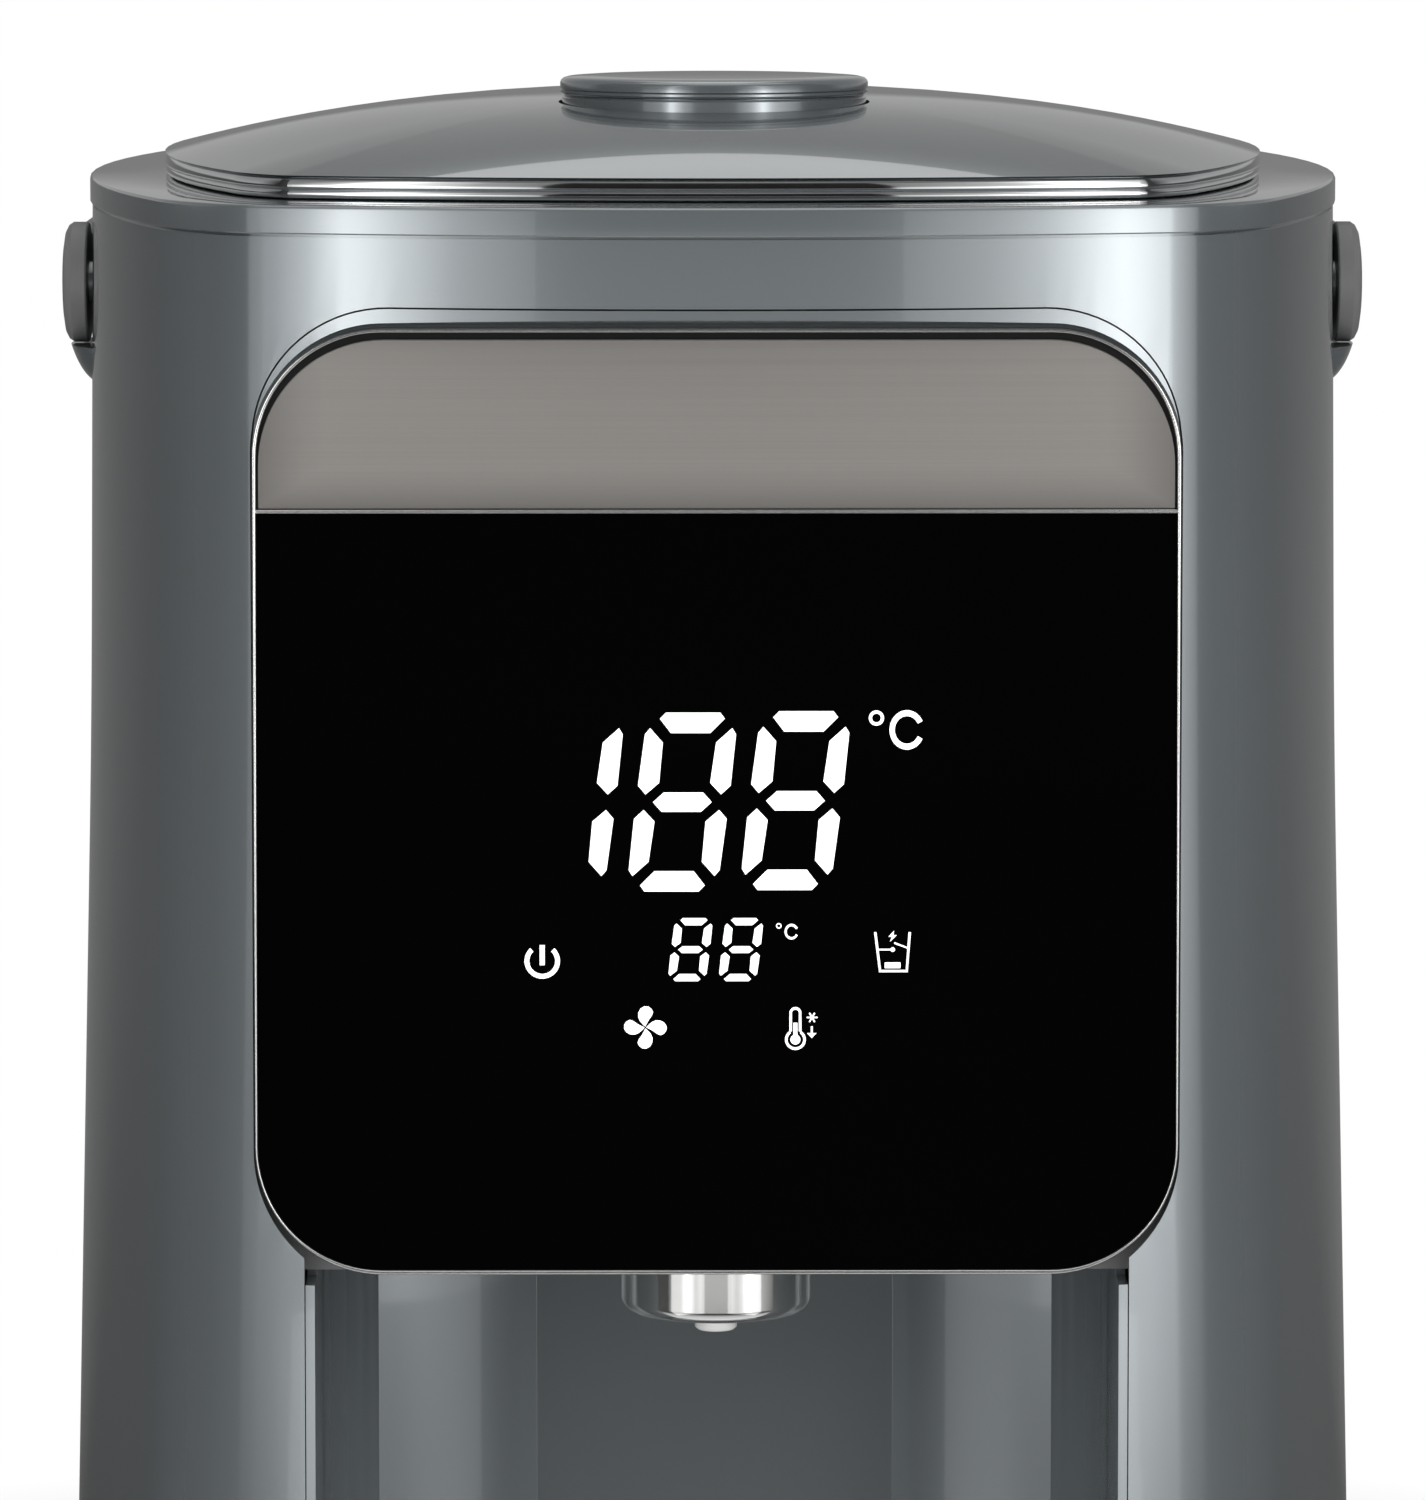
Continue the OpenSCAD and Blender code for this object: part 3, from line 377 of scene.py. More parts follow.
def thicken(bm, vec):
    """Pulls every face out along a vector; returns the new vertices."""
    verts = verts_in(bmesh.ops.extrude_face_region(bm, geom=bm.faces[:])["geom"])
    shift(bm, vec, verts)
    return verts


def slice_off(bm, at, facing):
    """Cuts away what lies on the far side of a plane, and closes the cut."""
    bmesh.ops.bisect_plane(bm, geom=[*bm.verts, *bm.edges, *bm.faces], plane_co=at,
                           plane_no=facing, clear_outer=True)
    cap(bm, [e for e in bm.edges if e.is_boundary])


def placed(bm, at, angle, axis):
    """Turns a bmesh about an axis of its own and moves it to a place."""
    bm.transform(Matrix.Translation(at) @ Matrix.Rotation(angle, 4, axis))
    return bm


def fit(work, name, slot, finish, *nodes, body="housing", sharp=32, bevel=0, segments=2):
    """Turns a loose object into a finished piece: metres, shading, finish, body and nodes."""
    if isinstance(work, bmesh.types.BMesh):
        work = stock(tidy(work))
    work.name = work.data.name = name
    work.data.transform(Matrix.Scale(MM, 4))
    work.data.shade_smooth()
    work.data.set_sharp_from_angle(angle=radians(sharp))
    if bevel:
        edge = work.modifiers.new("edge", "BEVEL")
        edge.width, edge.segments, edge.limit_method = bevel * MM, segments, "ANGLE"
        edge.angle_limit = radians(sharp)
        edge.harden_normals = True
    work.data.materials.clear()
    work.data.materials.append(finish)
    if nodes:
        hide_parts(*nodes)
    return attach(work, body)


def block(low, high):
    """Closed box between two corners."""
    bm = bmesh.new()
    bmesh.ops.create_cube(bm, size=1)
    span = Vector(high) - Vector(low)
    bmesh.ops.scale(bm, verts=bm.verts, vec=span)
    shift(bm, Vector(low) + span / 2)
    return bm


def rod(z0, z1, radius, at=(0, 0), sides=96):
    """Closed upright cylinder."""
    bm = bmesh.new()
    bmesh.ops.create_cone(bm, cap_ends=True, segments=sides, radius1=radius, radius2=radius,
                          depth=z1 - z0)
    shift(bm, (*at, (z0 + z1) / 2))
    return bm


def coat(name, **plain):
    """A new finish: the material, its shader, and Object coordinates."""
    made = bpy.data.materials.new(name)
    made.use_nodes = True
    shader = made.node_tree.nodes["Principled BSDF"]
    for key, value in plain.items():
        shader.inputs[key.replace("_", " ")].default_value = value
    return made, shader, Flow(made.node_tree).make("TexCoord", out=3)


def noise(where, scale, detail=2.0, rough=0.5):
    """Noise of one scale, or of three that stretch it along X, Y and Z."""
    if isinstance(scale, tuple):
        where, scale = where.make("Mapping", {"Vector": where, "Scale": scale}), 1.0
    return where.make("TexNoise", {
        "Vector": where, "Scale": scale, "Detail": detail, "Roughness": rough})


def flecks(where, scale):
    """A random value for each cell of a mosaic."""
    return where.make("SeparateColor", {
        0: where.make("TexVoronoi", {"Vector": where, "Scale": scale}, 1)})


def lay(shader, colour, rough=None, relief=None):
    """Gives a shader its colour, roughness and relief (a height, its strength and depth)."""
    colour.feed(shader, "Base Color")
    if rough is not None:
        rough.feed(shader, "Roughness")
    if relief:
        relief[0].make("Bump", dict(zip(("Height", "Strength", "Distance"), relief))).feed(
            shader, "Normal")


def mottled(name, low, high, *layers, rough=None, relief=None, **plain):
    """A finish between two colours that follows layers of noise. Each layer is (scale, detail,
    share in the colour, share in the roughness, and sometimes the noise's own roughness);
    relief names a layer by its number, with the strength and depth of a bump made from it."""
    made, shader, where = coat(name, **plain)
    grains = [noise(where, scale, detail, *own) for scale, detail, _, _, *own in layers]

    def weighed(place):
        parts = [grain * layer[place] for grain, layer in zip(grains, layers) if layer[place]]
        return sum(parts[1:], parts[0])

    lay(shader, weighed(2).mix(low, high),
        None if rough is None else weighed(3) + rough,
        relief and (grains[relief[0]], *relief[1:]))
    return made


lacquer, shader, where = coat(
    "graphite_lacquer", Metallic=0.56, Coat_Weight=1.0, Coat_Roughness=0.03, Coat_IOR=1.5)
flake, cloud = flecks(where, 3600.0), noise(where, 9.0)
lay(shader,
    (flake * 0.12 + cloud * 0.88).mix(rgb(0.165, 0.184, 0.193), rgb(0.200, 0.221, 0.230)),
    flake * 0.01 + cloud * 0.03 + 0.185, (noise(where, 2600.0), 0.02, 0.00002))

panel_w, panel_h, panel_r = 167, 171.4, 23.3
panel_top, panel_lean = Vector((0, -137.9, 308)), 1.3
on_panel = Matrix.Translation(panel_top) @ Matrix.Rotation(radians(-panel_lean), 4, "X")


def upright_face(bm, x0, x1, z0, z1, corner, y, steps):
    """Round-cornered face in an XZ plane."""
    corners = [bm.verts.new((x, y, z)) for x, z in ((x0, z0), (x1, z0), (x1, z1), (x0, z1))]
    bm.faces.new(corners)
    if corner:
        bmesh.ops.bevel(bm, geom=corners, offset=corner, affect="VERTICES", segments=steps,
                        profile=0.5, material=-1)


def upright_plate(x0, x1, z0, z1, corner, y0, y1, steps=12, spread=0):
    """Round-cornered plate that stands in the XZ plane, from y0 forward to y1."""
    bm = bmesh.new()
    upright_face(bm, x0, x1, z0, z1, corner, y0, steps)
    middle_z = (z0 + z1) / 2
    for v in thicken(bm, (0, y1 - y0, 0)):
        v.co.z += spread * (v.co.z - middle_z) / (z1 - middle_z)
    return tidy(bm)


def panel_block(z0, z1):
    """Block across the whole panel between two heights on it, for cutting."""
    bm = block((-120, -9, z0), (120, 9, z1))
    bm.transform(on_panel)
    return bm


def panel_plate(inset, y0, y1, z0=-panel_h, z1=0, corner=panel_r, spread=0):
    """Plate in the panel's own plane, which leans back at its top."""
    bm = upright_plate(-panel_w / 2 + inset, panel_w / 2 - inset, z0 + inset, z1 - inset,
                       corner - inset, y0, y1, 20, spread)
    bm.transform(on_panel)
    return bm


body_levels = (shell_foot, 60, 100, 140, 170, 190, 200, 208, 216, 224, 232, 240, 248, 262,
               278, 294, 310, seam_z)
shell_wall = 2.5
bay_half, bay_wall = 72.7, 1.9
hood_top, hood_r = 312.1, 25
shell = stock(body_block(body_levels))
hood_half, hood_low = panel_w / 2 + 0.1, 170
inlet_z, vent_low, vent_high, bay_top = 44, 76, 96, 150
machine(shell, body_block((shell_foot - 1, 60, 120, 200, 224, 248, seam_z + 1), shell_wall),
        upright_plate(-hood_half, hood_half, hood_low, hood_top, hood_r, -100, -200, 20),
        panel_plate(-0.3, 30, -16, spread=1.9),
        block((-bay_half - bay_wall, -200, 10), (bay_half + bay_wall, -100, bay_top)),
        upright_plate(-21, 21, inlet_z - 13.5, inlet_z + 13.5, 3, 180, 130))
for k in range(-3, 4):
    machine(shell, upright_plate(7 * k - 1.2, 7 * k + 1.2, vent_low, vent_high, 1.19, 180, 130,
                                 5))
fit(shell, "shell", "body_paint", lacquer, "outer_shell")

# ---- Panel surround ----
# Separate moulding let into the shell round the control panel, in the same
# lacquer. It stands out at the top, and its edge leaves a fine dark joint.
joint = 0.32
surround = stock(body_block(body_levels))
machine(surround, upright_plate(joint - hood_half, hood_half - joint, hood_low + joint,
                                hood_top - joint, hood_r - joint, -112, -200, 20),
        how="INTERSECT")
machine(surround, panel_plate(-0.3, 1, -16, spread=1.9), panel_plate(3, 30, -1))
fit(surround, "panel_surround", "body_paint", lacquer)

# ---- Top collar ----
# Flat ring that closes the gap between shell and lid, with a soft outer edge
# and a well for the lid. A groove parts it from the shell.
lid_inset, lid_shorten, lid_mid_y = 14.6, 0.94, -4.5
rear_y = 146.43


def lid_loop(bm, z, inset=0):
    """Outline of the lid: the body's, drawn in, shortened and moved."""
    loop = body_loop(bm, z, lid_inset + inset)
    middle = (rear_y + front_y) / 2
    for v in verts_of(loop):
        v.co.y = (v.co.y - middle) * lid_shorten + lid_mid_y
    return loop


def band(bm, lower, upper):
    bmesh.ops.bridge_loops(bm, edges=[*lower, *upper])


def rings(bm, loop_of, *steps):
    """Bridges outlines given as (height, inset) into one skin; returns first and last."""
    loops = [loop_of(bm, z, inset) for z, inset in steps]
    for lower, upper in zip(loops, loops[1:]):
        band(bm, lower, upper)
    return loops[0], loops[-1]


def fillet(z, inset, radius, steps=5):
    """Steps of (height, inset) round a quarter circle, from a wall up to a flat top."""
    turns = [pi / 2 * k / steps for k in range(steps + 1)]
    return [(z - radius + radius * sin(t), inset + radius - radius * cos(t)) for t in turns]


well_inset, deck_z, mouth_r, mouth_at = 3, 318, 80, (0, 32)
bm = bmesh.new()
_, rim = rings(bm, body_loop, (deck_z, 5.4), (deck_z, 3.4), (seam_z, 3.4), (seam_z, 1.2),
               (seam_z + 0.5, 1.2), (seam_z + 0.5, 0.25), (seam_z + 0.75, 0),
               *fillet(collar_z, 0, 0.6))
inner = lid_loop(bm, collar_z, well_inset)
band(bm, rim, inner)
_, foot = rings(bm, lid_loop, (collar_z - 0.01, well_inset), (deck_z, well_inset))
mouth = bmesh.ops.create_circle(bm, segments=len(foot), radius=mouth_r)["verts"]
shift(bm, (*mouth_at, deck_z), mouth)
hole = list({e for v in mouth for e in v.link_edges})
band(bm, foot, hole)
pull(bm, hole, -3)
fit(tidy(bm), "collar", "body_paint", lacquer, "top_collar")

# ---- Lid ----
# Low domed cover in the same lacquer over a polished ring, with a well for
# the button, steam slots over the vent and an arm to the hinge at the back.
trim_h, dome_rise, dome_power = 4.3, 11.8, 2.8
lid_z = collar_z + 0.1
dome_z = lid_z + trim_h
crest_y, dome_stretch = -25, 0.8
lid_half, lid_front, lid_rear = 106, -131, 127
button_y, well_r, well_floor = -58, 29.3, 338.4
bm = bmesh.new()
shares = [sin(radians(a)) for a in range(86, 0, -5)]
loop = lid_loop(bm, dome_z, 1.2)
start = pull(bm, loop, 1.3 - trim_h, 0.99, 0.99, lid_mid_y)
loop = lid_loop(bm, dome_z)
band(bm, lid_loop(bm, dome_z - 0.001, 1.2), loop)
lid_rings = [loop]
for share in [0.9985, *shares]:
    ring = lid_loop(bm, dome_z + dome_rise * (1 - share ** dome_power))
    for v in verts_of(ring):
        reach = (lid_front if v.co.y < crest_y else lid_rear) - crest_y
        oval = hypot(v.co.x / lid_half, (v.co.y - crest_y) / reach)
        rounded = 1 + (1 - share ** 3) * (1 / oval - 1)
        grow([v], share * rounded, share ** dome_stretch * rounded, crest_y)
    band(bm, lid_rings[-1], ring)
    lid_rings.append(ring)
cap(bm, lid_rings[-1])
inside = pull(bm, start, 0.5, 0.97, 0.97, lid_mid_y)
roof = pull(bm, inside, 4, 0.9, 0.9, lid_mid_y)
cap(bm, roof)
lid = stock(tidy(bm))


def slot_cutter(half, wide, corner, low, high, at):
    """Upright cutter for a slot with round ends that lies along X."""
    return placed(upright_plate(-half, half, -wide, wide, corner, low, high, 6), at, pi / 2, "X")


machine(lid, rod(well_floor, 380, well_r, (0, button_y), 128))
for k in range(-2, 3):
    machine(lid, slot_cutter(16 - 2 * abs(k), 1, 0.99, 330, 380, (0, 74 + 5 * k, 0)))
hinge_y, hinge_z, arm_half, pin_bore_r = 130, 336, 18.8, 2.05


def cross_rod(x0, x1, radius, y, z, sides=64):
    """Closed cylinder that lies along X."""
    return placed(rod(x0, x1, radius, sides=sides), (0, y, z), pi / 2, "Y")


arm = stock(block((-arm_half, 108, dome_z + 0.2), (arm_half, hinge_y, hinge_z + 3)))
machine(arm, cross_rod(-arm_half, arm_half, 5, hinge_y, hinge_z), how="UNION")
machine(arm, cross_rod(-40, 40, pin_bore_r, hinge_y, hinge_z))
machine(lid, arm, how="UNION")
fit(lid, "lid_cover_skin", "body_paint", lacquer, "lid_cover", body="lid")

# ---- Lid ring ----
# Polished ring that closes the edge of the lid all round: a strip rolled to a
# soft bulge over a fine bead, plated, and clipped between cover and liner.
chrome = mottled("bright_plating", rgb(0.72, 0.73, 0.74), rgb(0.80, 0.81, 0.82),
                 (240.0, 4.0, 1, 0.05), (90.0, 2.0, 0, 0), rough=0.035, relief=(1, 0.02, 0.00005),
                 Metallic=1.0)
bm = bmesh.new()
bulge = [(lid_z + 1.0 + 0.8 * sin(radians(a)), 0.6 - 0.5 * cos(radians(a)))
         for a in range(-80, 61, 20)]
bulge += [(lid_z + 2.35 + (1.95 if a > 0 else 0.5) * sin(radians(a)),
           (1.5 if a > 0 else 0.35) * (1 - cos(radians(a)))) for a in range(-75, 71, 15)]
first, last = rings(bm, lid_loop, (lid_z, 2.1), (lid_z, 1.3), *bulge,
                    (dome_z, 1.25), (dome_z, 2.1))
band(bm, last, first)
fit(bm, "lid_ring", "chrome", chrome, "lid_trim", body="lid", sharp=40)

# ---- Lid button ----
# Broad round push button that opens the lid: a lacquered cap with a fine groove
# over a plain lower part that slides in the lid, and a stem with the latch's wedge.


def lathe(profile, at=(0, 0), sides=160):
    """Turns a profile of (radius, height) points into a closed round solid."""
    bm = bmesh.new()
    points = [bm.verts.new((r, 0, z)) for r, z in profile]
    for a, b in zip(points, points[1:]):
        bm.edges.new((a, b))
    if profile[0][0] or profile[-1][0]:
        bm.edges.new((points[-1], points[0]))
    bmesh.ops.spin(bm, geom=[*bm.verts, *bm.edges], axis=(0, 0, 1), angle=2 * pi, steps=sides,
                   use_merge=True, use_duplicate=False)
    shift(bm, (*at, 0))
    return tidy(bm)


cap_r, cap_top, parting, skirt_low = 29, 350.4, 346.8, 341.6
groove_z = 347.9
cap_shape = lathe([(0, parting + 0.12), (cap_r - 0.45, parting + 0.12), (cap_r, parting + 0.5),
                   (cap_r, groove_z - 0.16), (cap_r - 0.3, groove_z), (cap_r, groove_z + 0.16),
                   (cap_r, cap_top - 1.3), (cap_r - 0.15, cap_top - 0.85),
                   (cap_r - 0.6, cap_top - 0.45), (cap_r - 1.5, cap_top - 0.2),
                   (cap_r - 4, cap_top - 0.03), (cap_r - 8, cap_top), (0, cap_top)],
                  (0, button_y))
fit(cap_shape, "button_cap", "body_paint", lacquer, "lid_button", body="button")
skirt = stock(lathe([(0, skirt_low), (cap_r - 0.7, skirt_low), (cap_r - 0.3, skirt_low + 0.4),
                     (cap_r - 0.3, parting - 0.5), (cap_r - 0.7, parting - 0.1),
                     (cap_r - 0.7, parting), (0, parting)], (0, button_y)))
stem_low, stem_r = 333, 6.5
machine(skirt, rod(stem_low, skirt_low + 1, stem_r, (0, button_y)), how="UNION")
wedge = block((-7, -61.8, 325), (7, -45.5, stem_low + 0.01))
slice_off(wedge, (0, -52.3, 326), (0, 1, -1.4))
machine(skirt, tidy(wedge), how="UNION")
fit(skirt, "button_underside", "body_paint", lacquer, "button_skirt", body="button")

# ---- Lid hinge ----
# Two ears moulded on the collar and a steel pin through them and the knuckle
# of the lid's arm.
satin = mottled("satin_dark_moulding", rgb(0.122, 0.123, 0.125), rgb(0.155, 0.156, 0.158),
                (1500.0, 3.0, 0.3, 0.08), (14.0, 3.0, 0.7, 0.10), rough=0.34,
                relief=(0, 0.35, 0.00004), Specular_IOR_Level=0.42)
for side, name in ((-1, "hinge_ear_left"), (1, "hinge_ear_right")):
    ear = stock(block((side * 24.5 - 5.2, hinge_y - 5.5, collar_z - 0.5),
                      (side * 24.5 + 5.2, hinge_y + 5.5, hinge_z)))
    machine(ear, cross_rod(side * 24.5 - 5.2, side * 24.5 + 5.2, 5.5, hinge_y, hinge_z),
            how="UNION")
    fit(ear, name, "dark_plastic", satin, "hinge_block", bevel=0.6)

# ---- Panel bezel ----
# Fine bright frame round the control panel and between its metal header and
# its glass, plated plastic with a satin polish, clipped in from behind.
satin_chrome = mottled("satin_plating", rgb(0.80, 0.80, 0.79), rgb(0.88, 0.88, 0.87),
                       (320.0, 4.0, 1, 0.06), rough=0.22, Metallic=1.0)
header_low, divider_low = -32.6, -33.3


def panel_loop(bm, y, inset):
    """Corners of the panel's outline in order, drawn in by a margin, less beside the glass."""
    half = panel_w / 2 - inset
    upright_face(bm, -half, half, inset - panel_h, -inset, panel_r - inset, y, 20)
    face = bm.faces[:][0]
    loop = list(face.verts)
    bm.faces.remove(face)
    grow([v for v in loop if v.co.z < divider_low], 1 + 0.4 * inset / half, 1)
    return loop


nose_r = 0.42
nose = [(-nose_r * (1 + sin(radians(a))) + 0.05, nose_r * (1 - cos(radians(a))))
        for a in range(0, 181, 20)]
bm = bmesh.new()
loops = [panel_loop(bm, y, inset) for y, inset in ((2, 0), *nose, (2, 2 * nose_r))]
for near, far in zip(loops, [*loops[1:], loops[0]]):
    for k in range(len(near)):
        bm.faces.new((near[k - 1], near[k], far[k], far[k - 1]))
bm.transform(on_panel)
fit(bm, "bezel", "chrome", satin_chrome, "panel_bezel", sharp=50)
divider = upright_plate(-panel_w / 2 + 0.5, panel_w / 2 - 0.5, divider_low, header_low, 0, 2, -0.5)
divider.transform(on_panel)
fit(divider, "bezel_bar", "chrome", satin_chrome, bevel=0.25, segments=3)

# ---- Header plate ----
# Warm grey metal plate above the glass, brushed lengthways and left bare, with
# painted shade darkening its colour at its side and lower edges. It sits in a black
# bed, which shows as a fine shadow under its upper edge.
bed = mottled("black_bed", rgb(0.004), rgb(0.010), (900.0, 2.0, 1, 0.2), rough=0.55,
              Specular_IOR_Level=0.2)
fit(panel_plate(0.6, 2, 0.5), "panel_bed", "dark_plastic", bed)

metal, shader, where = coat("brushed_header", Metallic=0.55, Anisotropic=0.6)
strokes = noise(where, (6.0, 900.0, 2600.0), 3.0, 0.6)
# Painted shade: the plate's colour turns darker towards its side and lower edges.
painted_side_shade = where.sum("ABSOLUTE", where.part(0)).ramp((0.072, 0.0), (0.0835, 1.0))
painted_low_shade = (where.part(2) - (panel_top.z + header_low) * MM).ramp((0.0, 1.0), (0.006, 0.0))
face = strokes.mix(rgb(0.210, 0.199, 0.187), rgb(0.256, 0.243, 0.229))
lay(shader, painted_side_shade.peak(painted_low_shade).mix(face, rgb(0.138, 0.131, 0.123)),
    strokes * 0.16 + 0.36, (strokes, 0.12, 0.00002))
plate_inset, plate_drop = 1.15, 0.9
plate = stock(panel_plate(plate_inset, 2, -0.15, z1=-plate_drop, corner=23.8))
machine(plate, panel_block(-200, header_low + 0.1))
fit(plate, "header", "header_metal", metal, "header_plate", bevel=0.25)

# ---- Display glass ----
# Sheet of black glass over the lower panel, with polished edges. The figures
# and touch marks are lit from behind through clear windows in its ink.
glass_ink = mottled("black_glass", rgb(0.0006), rgb(0.0011, 0.0011, 0.0012), (5.0, 2.0, 1, 0),
                    Roughness=0.03, IOR=1.04)
glass = stock(panel_plate(0.62, 2, 0))
machine(glass, panel_block(divider_low - 0.1, 20))
fit(glass, "display", "black_plastic", glass_ink, "display_glass", bevel=0.2)

# ---- Lit figures ----
# White figures behind the glass: the water's temperature in large figures,
# the set one in small ones, and the marks of the four touch keys.
glow_white, shader, where = coat("lit_white", Roughness=0.4, Emission_Strength=1.0)
even = noise(where, 150.0)
even.mix(rgb(0.86, 0.88, 0.90), rgb(0.93, 0.94, 0.95)).feed(shader, "Emission Color")
lay(shader, even.mix(rgb(0.70), rgb(0.75)))
inks = bmesh.new()
ink_t = 0.05


def ink(points, at, size=1.0, slant=0.0, wide=1.0):
    """Prints one closed shape on the glass; x is to the right and y up, from a middle."""
    spots = [inks.verts.new(((x * wide + y * slant) * size + at[0], -ink_t, y * size + at[1]))
             for x, y in points]
    inks.faces.new(spots)


def ink_ring(at, outer, inner, start=0, turn=360, steps=32, wide=1.0):
    """Prints a ring or a part of one, spun from its start."""
    a, old = radians(start), set(inks.verts)
    pair = [inks.verts.new((at[0] + r * cos(a), -ink_t, at[1] + r * sin(a)))
            for r in (outer, inner)]
    edge = inks.edges.new(pair)
    bmesh.ops.spin(inks, geom=[*pair, edge], cent=(*at[:1], 0, at[1]), axis=(0, -1, 0),
                   angle=radians(turn), steps=steps, use_merge=turn == 360,
                   use_duplicate=False)
    bmesh.ops.scale(inks, verts=[v for v in inks.verts if v not in old], vec=(wide, 1, 1),
                    space=Matrix.Translation((-at[0], 0, -at[1])))


# The seven bars of a figure, from the middle of its middle bar: the two flat
# end bars and four side bars are one shape each, mirrored
end_bar = ((-4.9, 16.2), (4.9, 16.2), (5.85, 15.1), (3.55, 12.5), (-3.55, 12.5), (-5.85, 15.1))
side_bar = ((8.2, 12.3), (7.4, 13.4), (4.8, 10.8), (4.6, 3.5), (6.8, 1.4), (8.35, 3.0))
middle_bar = ((-5.3, 0), (-3.55, 1.75), (3.55, 1.75), (5.3, 0), (3.55, -1.75), (-3.55, -1.75))
figure_slant = 0.12


def flip(points, x, y):
    return [(px * x, py * y) for px, py in points]


def turn_by(points, angle, x=0.0, y=0.0):
    a = radians(angle)
    return [(px * cos(a) - py * sin(a) + x, px * sin(a) + py * cos(a) + y) for px, py in points]


def dot(radius, step, x=0.0, y=0.0):
    return [(radius * cos(radians(a)) + x, radius * sin(radians(a)) + y)
            for a in range(0, 360, step)]


def bar(x0, y0, x1, y1):
    return (x0, y0), (x1, y0), (x1, y1), (x0, y1)


def figure(at, size=1.0, wide=1.0, one=False):
    """An eight, or the two right-hand bars of a one."""
    bars = [side_bar, flip(side_bar, 1, -1)]
    if not one:
        bars += [flip(side_bar, -1, 1), flip(side_bar, -1, -1), end_bar, flip(end_bar, 1, -1),
                 middle_bar]
    for shape in bars:
        ink(shape, at, size, figure_slant, wide)


def on_glass(x, z):
    """Place on the glass for a height above the table."""
    return x, (z - panel_top.z) / cos(radians(panel_lean))


for x, z, one in ((-26.6, 222.6, True), (-6.2, 222.6, False), (14.2, 222.85, False)):
    figure(on_glass(x, z), one=one)
for x in (-4.75, 4.39):
    figure(on_glass(x, 195.85), 0.354, 1.178)
for ring_at, ring_r, c_at, c_r in ((on_glass(28.75, 237.8), 1.37, on_glass(34.25, 235.65), 3.57),
                                   (on_glass(11.2, 200.15), 0.5, on_glass(13.5, 199.1), 1.42)):
    ink_ring(ring_at, ring_r, ring_r * 0.58)
    ink_ring(c_at, c_r, c_r * 0.70, 27, 306, 28, 0.88)

# Power: an open ring with a bar in its gap
power = on_glass(-31.5, 193.8)
ink_ring(power, 3.2, 2.35, 133, 274, 28)
ink(bar(-0.45, -0.75, 0.45, 2.9), power)
# Fan: four curved blades that meet in the middle
fan = on_glass(-12.9, 181.7)
blade = ((0.0, 0.15), (0.3, 0.8), (0.7, 1.5), (1.2, 2.2), (1.4, 2.8), (1.1, 3.4), (0.55, 3.8),
         (-0.2, 3.85), (-0.85, 3.45), (-1.25, 2.75), (-1.3, 1.9), (-1.0, 1.2), (-0.5, 0.6))
for turn in range(0, 360, 90):
    ink(turn_by(blade, turn), fan)
# Cooling: a thermometer, an ice star and an arrow down
cold = on_glass(15.3, 181.7)
bulb, tube_top = (cold[0] - 1.09, cold[1] - 2.23), cold[1] + 2.61
ink_ring(bulb, 1.88, 1.42, 125, 290, 28)
ink_ring((bulb[0], tube_top), 1.08, 0.62, 0, 180, 16)
for shape in (dot(0.9, 20), bar(-1.08, 1.5, -0.62, 4.84), bar(0.62, 1.5, 1.08, 4.84),
              bar(-0.36, 0.8, 0.36, 3.07)):
    ink(shape, bulb)
for turn in (0, 60, 120):
    ink(turn_by(bar(-0.97, -0.13, 0.97, 0.13), turn, 1.92, 1.8), cold)
ink(((1.7, 0.19), (2.04, 0.19), (2.04, -1.04), (2.73, -1.04), (1.87, -1.96), (1.01, -1.04),
     (1.7, -1.04)), cold)
# Pouring: a tumbler with a little water in it, two stirring strokes and a flash
cup = on_glass(31.8, 195.4)
for shape in (dot(0.42, 30, -0.03, 0.43),
              ((-3.4, 3.6), (-2.98, 3.6), (-2.12, -3.25), (-2.5, -3.7)),
              ((2.82, 3.6), (3.25, 3.6), (2.7, -3.7), (2.32, -3.25)),
              ((-2.5, -3.7), (-2.12, -3.25), (2.32, -3.25), (2.7, -3.7)),
              bar(-1.48, -2.95, 1.37, -1.9), bar(-2.7, 0.29, -0.3, 0.57),
              ((0.2, 1.5), (2.6, 0.6), (2.65, 0.88), (0.3, 1.78)),
              ((0.2, 3.85), (-0.83, 2.74), (-0.19, 2.74), (-0.55, 1.85), (0.7, 3.06),
               (0.1, 3.06))):
    ink(shape, cup)
bmesh.ops.recalc_face_normals(inks, faces=inks.faces)
for face in inks.faces:
    if face.normal.y > 0:
        face.normal_flip()
thicken(inks, (0, ink_t + 0.02, 0))
inks.transform(on_panel)
fit(inks, "lit_figures", "led_white", glow_white)

# ---- Nozzle ----
# Plated cup over the water outlet, pressed up into the ceiling of the bay,
# and the bright tip of the outlet inside it.
polished = mottled("nozzle_plating", rgb(0.78, 0.78, 0.77), rgb(0.86, 0.86, 0.85),
                   (320.0, 4.0, 1, 0.04), rough=0.07, Metallic=0.96)
nozzle_y, nozzle_r, nozzle_low, nozzle_top = -115, 17.5, 125.3, 154
nozzle = lathe([(4.2, nozzle_low + 0.4), (9, nozzle_low + 0.15), (nozzle_r - 2.4, nozzle_low),
                (nozzle_r - 1.1, nozzle_low + 0.3), (nozzle_r - 0.35, nozzle_low + 1.0),
                (nozzle_r, nozzle_low + 2.1), (nozzle_r, nozzle_low + 2.3), (nozzle_r, bay_top + 2),
                (nozzle_r + 1.5, bay_top + 2), (nozzle_r + 1.5, nozzle_top), (4.2, nozzle_top)],
               (0, nozzle_y))
fit(nozzle, "nozzle_cup", "chrome", polished, "nozzle_shroud", sharp=50)
